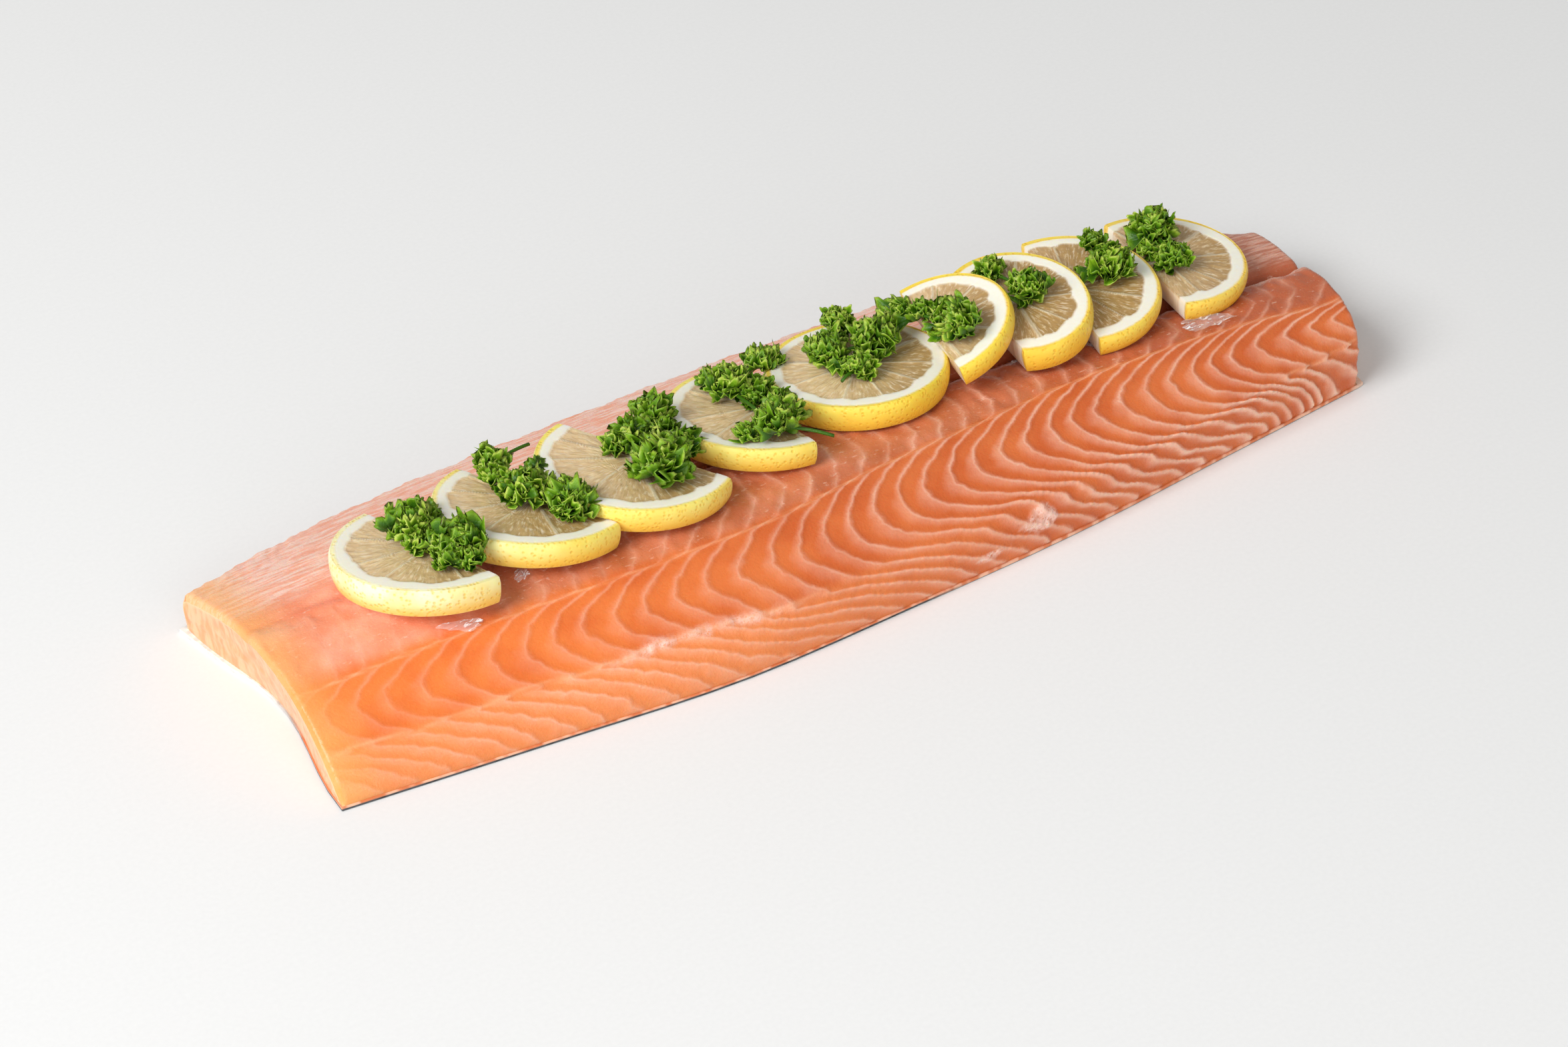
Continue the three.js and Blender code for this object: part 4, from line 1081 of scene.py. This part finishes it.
def stem_tube(start, end):
    """Closed tube between two points, bowed upwards a little: points, tip and shade values, and faces."""
    t = np.linspace(0, 1, STEM_STEPS)[:, None]
    line = start + (end - start) * t + np.array([0, 0, STEM_BOW]) * np.sin(np.pi * t)
    heading = (end - start) / np.linalg.norm(end - start)
    across = np.cross(heading, [0, 0, 1])
    across = across / np.linalg.norm(across)
    up = np.cross(across, heading)
    turn = np.linspace(0, 2 * np.pi, STEM_SIDES, endpoint=False)
    ring = STEM_RADIUS * (np.outer(np.cos(turn), across) + np.outer(np.sin(turn), up))
    points = (line[:, None, :] + ring[None]).reshape(-1, 3)
    faces = grid_faces(STEM_STEPS, STEM_SIDES, closed=True)
    ends = np.arange(STEM_SIDES)
    faces += [ends[::-1], ends + (STEM_STEPS - 1) * STEM_SIDES]
    return points, np.full(len(points), STEM_TIP), np.full(len(points), STEM_SHADE), faces


def sprig_foot(head):
    """Where a head's stalk starts, in its slice's plane."""
    return np.array([head[0], head[1], SPRIG_CLEARANCE + STEM_RADIUS + 0.2 * head[2]])


def sprig_piece(number, parsley):
    rng = np.random.default_rng(SPRIG_SEED + number)
    heads, stalk = SPRIGS[number]
    heads_and_clumps = heads + CLUMPS.get(number, [])
    parts = [head_leaflets(head, LEAF_SCALE.get(number, 1.0), rng) for head in heads_and_clumps]
    parts += [blade_leaflets(blade, rng) for blade in BLADES.get(number, [])]
    parts += [stem_tube(sprig_foot(heads[0]), sprig_foot(head)) for head in heads[1:]]
    if stalk:
        parts.append(stem_tube(sprig_foot(heads[stalk[0]]), np.array(stalk[1], float)))
    faces = []
    total = 0
    for made, _, _, shell in parts:
        faces += [[total + corner for corner in face] for face in shell]
        total += len(made)
    local, tips, shades = (np.concatenate([part[k] for part in parts]) for k in range(3))
    local[:, 2] = np.maximum(local[:, 2], SPRIG_CLEARANCE)
    placed = local @ slice_turn(number).T + slice_centre(number)
    placed = above_slices(placed, [other for other in SLICES if other != number])
    fields = {"tip": tips, "shade": shades}
    replaced = [f"parsley_{number}"]
    make_piece(f"parsley_sprig_{number}", placed, faces, [parsley], replaced, fields)


# Film scraps
def film_piece(name, film):
    (x, y), (long, wide), turn = FILMS[name]
    seed = FILM_SEED + list(FILMS).index(name)
    angle = np.linspace(0, 2 * np.pi, FILM_ROUND, endpoint=False)
    ragged = 1 + waves(angle, [(0.16, 3, seed), (0.1, 7, 2 * seed)])
    reach = np.linspace(0, 1, FILM_RINGS + 1)[1:, None] * ragged / ragged.max()
    u = long * reach * np.cos(angle)
    v = wide * reach * np.sin(angle)
    cosine, sine = math.cos(math.radians(turn)), math.sin(math.radians(turn))
    film_x = x + u * cosine - v * sine
    film_y = y + u * sine + v * cosine
    folds = np.abs(value_noise(0.35 * u, v, cell=1.7, seed=seed))
    folds = folds + 0.5 * np.abs(value_noise(u, 0.4 * v, cell=2.1, seed=seed + 9))
    film_z = fillet_height(film_x, film_y) + FILM_LIFT + FILM_FOLDS * folds
    upper = np.stack([film_x, film_y, film_z], -1)
    hub = upper[0].mean(0)
    lower = upper[:-1] - np.array([0, 0, FILM_THICKNESS])
    rings = np.concatenate([lower, upper[-1:], upper[:-1][::-1]])
    points = np.concatenate([rings.reshape(-1, 3), [hub - [0, 0, FILM_THICKNESS]], [hub]])
    faces = capped_faces(len(rings), FILM_ROUND)
    make_piece(f"clear_{name}", points, faces, [film], [name], {}, sharp_angle=FILM_SHARP_ANGLE)


# Materials
def flake_line(g, place):
    """Pale line at each flake's edge: a core measured in millimetres and a band measured in flakes, the band
    partly painted light on the rise before the edge.
    """
    spacing = g.field("spacing")
    jitter = g.times(g.minus(g.noise(place, 0.9, detail=3.0), 0.5), LINE_JITTER)
    part = g.math("FRACT", g.plus(g.field("flake"), jitter))
    past = g.times(part, spacing)
    ahead = g.times(g.minus(1.0, part), spacing)
    reach = g.scaled(g.field("broad"), CORE_AHEAD_BROAD, CORE_AHEAD)
    core = g.larger(g.eased(past, *CORE_PAST), g.eased(ahead, reach, CORE_FULL))
    start = g.minus(BAND_START, g.times(g.field("wide"), BAND_WIDER))
    band = g.larger(g.eased(part, *BAND_PAST), g.eased(part, start, 1.0))
    soft = g.plus(g.times(band, BAND_SHARE), g.times(core, CORE_SHARE))
    return g.times(soft, g.field("line"))


def flesh_material():
    g = Graph("salmon_flesh")
    place = g.place()
    along_x = g.axes(place)[0]
    top = g.field("top")
    blotch = g.eased(g.noise(place, 0.07, detail=3.0), 0.3, 0.7)
    # Painted light and shade: a lit copy of the loin's orange at the head end and a darker copy (even)
    # towards the tail
    lit_loin = g.mix(blotch, (228, 114, 52), (240, 132, 64))
    even = g.mix(blotch, (208, 100, 48), (222, 118, 62))
    loin = g.mix(g.eased(along_x, *LOIN_SHADE_FALLOFF), lit_loin, even)
    # Painted light: the foot of the loin paler towards the head end
    loin = g.tint(loin, g.field("foot"), 0.7, (246, 152, 90))
    wet = g.mix(blotch, (196, 108, 68), (216, 130, 92))
    # Painted shade: the top darker towards the tail
    wet = g.mix(g.eased(along_x, *TOP_SHADE_FALLOFF), wet, (192, 102, 66))
    rosy = g.mix(blotch, (238, 142, 104), (248, 176, 146))
    upper = g.mix(g.eased(along_x, *ROSY_ENDS), rosy, wet)
    base = g.mix(top, loin, upper)
    base = g.mix(flake_line(g, place), base, (250, 199, 173))
    base = g.tint(base, g.field("seam"), 0.62, (250, 186, 142))
    streaky = g.noise(g.stretch(place, (0.12, 0.9, 0.5)), 1.0, detail=4.0, roughness=0.6)
    streaks = g.eased(streaky, 0.36, 0.64)
    belly = g.mix(streaks, (246, 168, 138), (252, 212, 195))
    # Painted shade: a darker copy of the belly colours towards the tail
    shaded_belly = g.mix(streaks, (196, 118, 90), (228, 174, 152))
    belly = g.mix(g.eased(along_x, *BELLY_SHADE_FALLOFF), belly, shaded_belly)
    base = g.mix(g.field("belly"), base, belly)
    base = g.tint(base, g.field("crease"), 0.5, (244, 118, 72))
    # Painted highlights: small pale glints of wet flesh on the top
    glint_noise = g.noise(g.stretch(place, (0.5, 1.1, 1.0)), 0.8, detail=3.0, roughness=0.6)
    base = g.tint(base, g.times(g.eased(glint_noise, 0.6, 0.72), top), 0.4, (250, 212, 190))
    fibres = g.eased(g.noise(place, 1.6, detail=4.0, roughness=0.65), 0.25, 0.55)
    base = g.mix(g.times(g.field("pale"), fibres), base, (250, 210, 193))
    base = g.tint(base, g.eased(along_x, *HEAD_PALES), 0.65, (252, 182, 104))
    gloss = g.eased(g.noise(place, 0.35), 0.35, 0.7)
    g.set(Base_Color=base, Roughness=g.scaled(gloss, 0.18, 0.24), IOR=FLESH_IOR)
    g.translucent(0.3, (1.0, 0.35, 0.15), depth=3.0)
    g.set(Normal=g.bump(g.noise(place, 1.2, detail=3.0), depth=0.14))
    return g.material


def cut_material():
    g = Graph("salmon_cut")
    layers = g.noise(g.stretch(g.place(), (0.1, 0.5, 0.16)), 1.0, detail=3.0)
    base = g.mix(g.eased(layers, 0.35, 0.65), (243, 164, 114), (250, 190, 146))
    # Painted highlight: paler along the top edge of the cut face
    base = g.mix(g.eased(g.field("depth"), *CUT_EDGE_HIGHLIGHT), base, (250, 196, 152))
    g.set(Base_Color=base, Roughness=0.3, IOR=FLESH_IOR)
    g.translucent(0.35, (1.0, 0.4, 0.18), depth=3.0)
    g.set(Normal=g.bump(layers, depth=0.25))
    return g.material


def skin_material():
    g = Graph("salmon_skin")
    place = g.place()
    x, y, z = g.axes(place)
    scales = g.cells(g.stretch(place, (0.32, 0.42, 0.42)), 1.0)
    scaly = g.eased(scales, 0.2, 0.6)
    dark = g.mix(scaly, (38, 40, 44), (74, 78, 82))
    pale = g.mix(scaly, (224, 222, 216), (246, 244, 238))
    base = g.mix(g.eased(y, *SKIN_PALES), dark, pale)
    fat = g.larger(g.eased(z, *FAT_RISES), g.eased(x, *FAT_STARTS))
    edge = g.times(fat, g.times(g.eased(z, *FAT_FOOT), g.eased(y, *FAT_ENDS)))
    bands = g.eased(g.noise(g.stretch(place, (0.22, 0.05, 0.05)), 1.0, detail=1.0), 0.4, 0.6)
    base = g.mix(edge, base, g.mix(bands, (224, 132, 84), (250, 196, 164)))
    base = g.mix(g.eased(x, *TAIL_TAB), base, (240, 204, 180))
    g.set(Base_Color=base, Roughness=0.35)
    g.set(Normal=g.bump(scales, depth=0.25))
    return g.material


def lemon_material():
    g = Graph("lemon")
    place = g.place()
    along_x = g.axes(place)[0]
    pulp = g.field("pulp")
    low = g.field("low")
    grain = g.field("grain", "Vector")
    fibre = g.noise(grain, 0.7, detail=3.0, roughness=0.55)
    sacs = g.noise(grain, 0.8, roughness=0.6)
    rays = g.noise(g.stretch(grain, (1.7, 0.55, 1.0)), 1.0)
    juicy = g.eased(fibre, 0.3, 0.7)
    lit = g.mix(juicy, (224, 190, 142), (236, 208, 162))
    shaded = g.mix(juicy, (208, 172, 128), (220, 188, 144))
    flesh = g.mix(g.eased(along_x, *PULP_SHADES), lit, shaded)
    # Painted shade: darker pulp towards +x and the near side of each slice
    flesh = g.tint(flesh, g.eased(g.field("pulp_shade"), *PULP_DIMS), 0.72, (168, 130, 64))
    # Pale sacs and streaks: partly the pulp's own pale vesicles, partly painted highlights of wet glints
    flesh = g.tint(flesh, g.eased(sacs, 0.52, 0.7), 0.55, (244, 226, 190))
    flesh = g.tint(flesh, g.eased(rays, 0.55, 0.7), 0.55, (248, 234, 206))
    flesh = g.tint(flesh, g.eased(rays, 0.44, 0.3), 0.42, (176, 146, 96))
    flesh = g.tint(flesh, g.eased(g.field("membrane"), *WALL_WIDTH), 0.55, (246, 234, 206))
    pith = g.mix(g.noise(place, 0.8, detail=3.0), (253, 242, 220), (255, 251, 238))
    base = g.mix(g.eased(pulp, *PITH_ENDS), pith, flesh)
    base = g.tint(base, g.eased(low, *CUT_WALL), 0.6, (252, 240, 218))
    pores = g.cells(place, 0.75)
    # Painted light: peel paler towards the head end, its deep gold darker towards the tail
    far = g.eased(along_x, *PEEL_LIGHT_FALLOFF, kind="LINEAR")
    deep = g.mix(far, (254, 204, 72), (252, 186, 42))
    # Painted shade: deeper gold peel towards the bottom of each slice; the mottle and pores below use the
    # same gold as the peel's own colour
    peel = g.tint(g.ramp(far, PEEL_COLOURS), g.eased(low, *PEEL_LOW_SHADE), 0.75, deep)
    peel = g.tint(peel, g.eased(g.noise(place, 0.12), 0.4, 0.7), 0.35, deep)
    peel = g.tint(peel, g.eased(pores, 0.5, 0.12), 0.55, deep)
    wander = g.times(g.minus(g.noise(place, 0.6), 0.5), 0.5)
    rind = g.eased(g.plus(g.field("zest"), wander), *RIND_STARTS)
    base = g.mix(rind, base, peel)
    g.set(Base_Color=base, Roughness=g.scaled(rind, 0.14, 0.24), IOR=1.42)
    g.translucent(0.5, (1.0, 0.8, 0.35), depth=4.0)
    dimples = g.times(g.eased(pores, 0.0, 0.5), rind)
    inside = g.times(fibre, g.eased(pulp, 0.0, 0.5))
    g.set(Normal=g.bump(g.plus(dimples, inside), depth=0.2))
    return g.material


def parsley_material():
    g = Graph("parsley")
    place = g.place()
    # Partly painted light and shade: dark at the leaflets' bases, bright at their margins
    blend = g.plus(g.times(g.field("tip"), 0.62), g.times(g.field("shade"), 0.28))
    blend = g.plus(blend, g.times(g.noise(place, 0.5), 0.2))
    g.set(Base_Color=g.ramp(blend, PARSLEY_COLOURS), Roughness=0.36, IOR=1.4)
    g.translucent(0.1, (0.4, 1.0, 0.2), depth=1.0)
    g.set(Normal=g.bump(g.noise(place, 1.6, detail=3.0), depth=0.2))
    return g.material


def film_material():
    g = Graph("clear_film")
    place = g.place()
    swirl = g.noise(g.stretch(place, (0.2, 0.75, 0.6)), 1.0)
    # Painted highlights: nearly opaque white creases stand in for glints on the film's folds
    crease = g.eased(g.math("ABSOLUTE", g.minus(swirl, 0.5)), 0.035, 0.006)
    crease = g.times(crease, g.eased(g.noise(place, 0.3, detail=1.0), 0.38, 0.58))
    g.set(Base_Color=colour(252, 252, 252), Roughness=0.12, IOR=1.5, Specular_IOR_Level=0.8)
    g.set(Alpha=g.scaled(crease, 0.85, 0.12))
    g.set(Normal=g.bump(swirl, depth=0.6))
    return g.material


def floor_material():
    g = Graph("pale_floor")
    speckle = g.noise(g.place(), 0.7, detail=3.0)
    base = g.mix(speckle, (234, 234, 233), (240, 240, 239))
    g.set(Base_Color=base, Roughness=0.9, Specular_IOR_Level=0.0)
    return g.material


# Stage
def add_floor():
    mesh = bpy.data.meshes.new("floor")
    corners = [(x * FLOOR_HALF, y * FLOOR_HALF, 0) for x, y in ((-1, -1), (1, -1), (1, 1), (-1, 1))]
    mesh.from_pydata(corners, [], [(0, 1, 2, 3)])
    mesh.materials.append(floor_material())
    floor = linked("floor", mesh)
    floor.location.z = -FLOOR_DROP


def add_light(name, place, aim, size, power):
    light = bpy.data.lights.new(name, "AREA")
    light.shape = "RECTANGLE"
    light.size, light.size_y = size
    light.energy = power
    lamp = linked(name, light)
    lamp.location = place
    lamp.rotation_euler = (Vector(aim) - Vector(place)).to_track_quat("-Z", "Y").to_euler()


def add_world(strength):
    world = bpy.data.worlds.new("studio")
    world.use_nodes = True
    background = world.node_tree.nodes["Background"]
    background.inputs["Color"].default_value = (1.0, 1.0, 1.0, 1.0)
    background.inputs["Strength"].default_value = strength
    bpy.context.scene.world = world


def add_camera():
    camera = bpy.data.cameras.new("camera")
    camera.lens = CAMERA_LENS
    camera.sensor_width = CAMERA_SENSOR
    holder = linked("camera", camera)
    aim = (CAMERA_AIM - CAMERA_PLACE).to_track_quat("-Z", "Y").to_matrix().to_4x4()
    holder.matrix_world = Matrix.Translation(CAMERA_PLACE) @ aim @ Matrix.Rotation(CAMERA_ROLL, 4, "Z")
    bpy.context.scene.camera = holder


add_camera()
add_floor()
add_world(SKY_STRENGTH)
for name, settings in LIGHTS.items():
    add_light(name, *settings)
bpy.context.scene.view_settings.view_transform = "Standard"

fillet_piece(flesh_material(), cut_material())
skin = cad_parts["skin"]
skin.data.materials.clear()
skin.data.materials.append(skin_material())

lemon = lemon_material()
parsley = parsley_material()
film = film_material()
for number in SLICES:
    lemon_piece(number, lemon)
    sprig_piece(number, parsley)
for name in FILMS:
    film_piece(name, film)
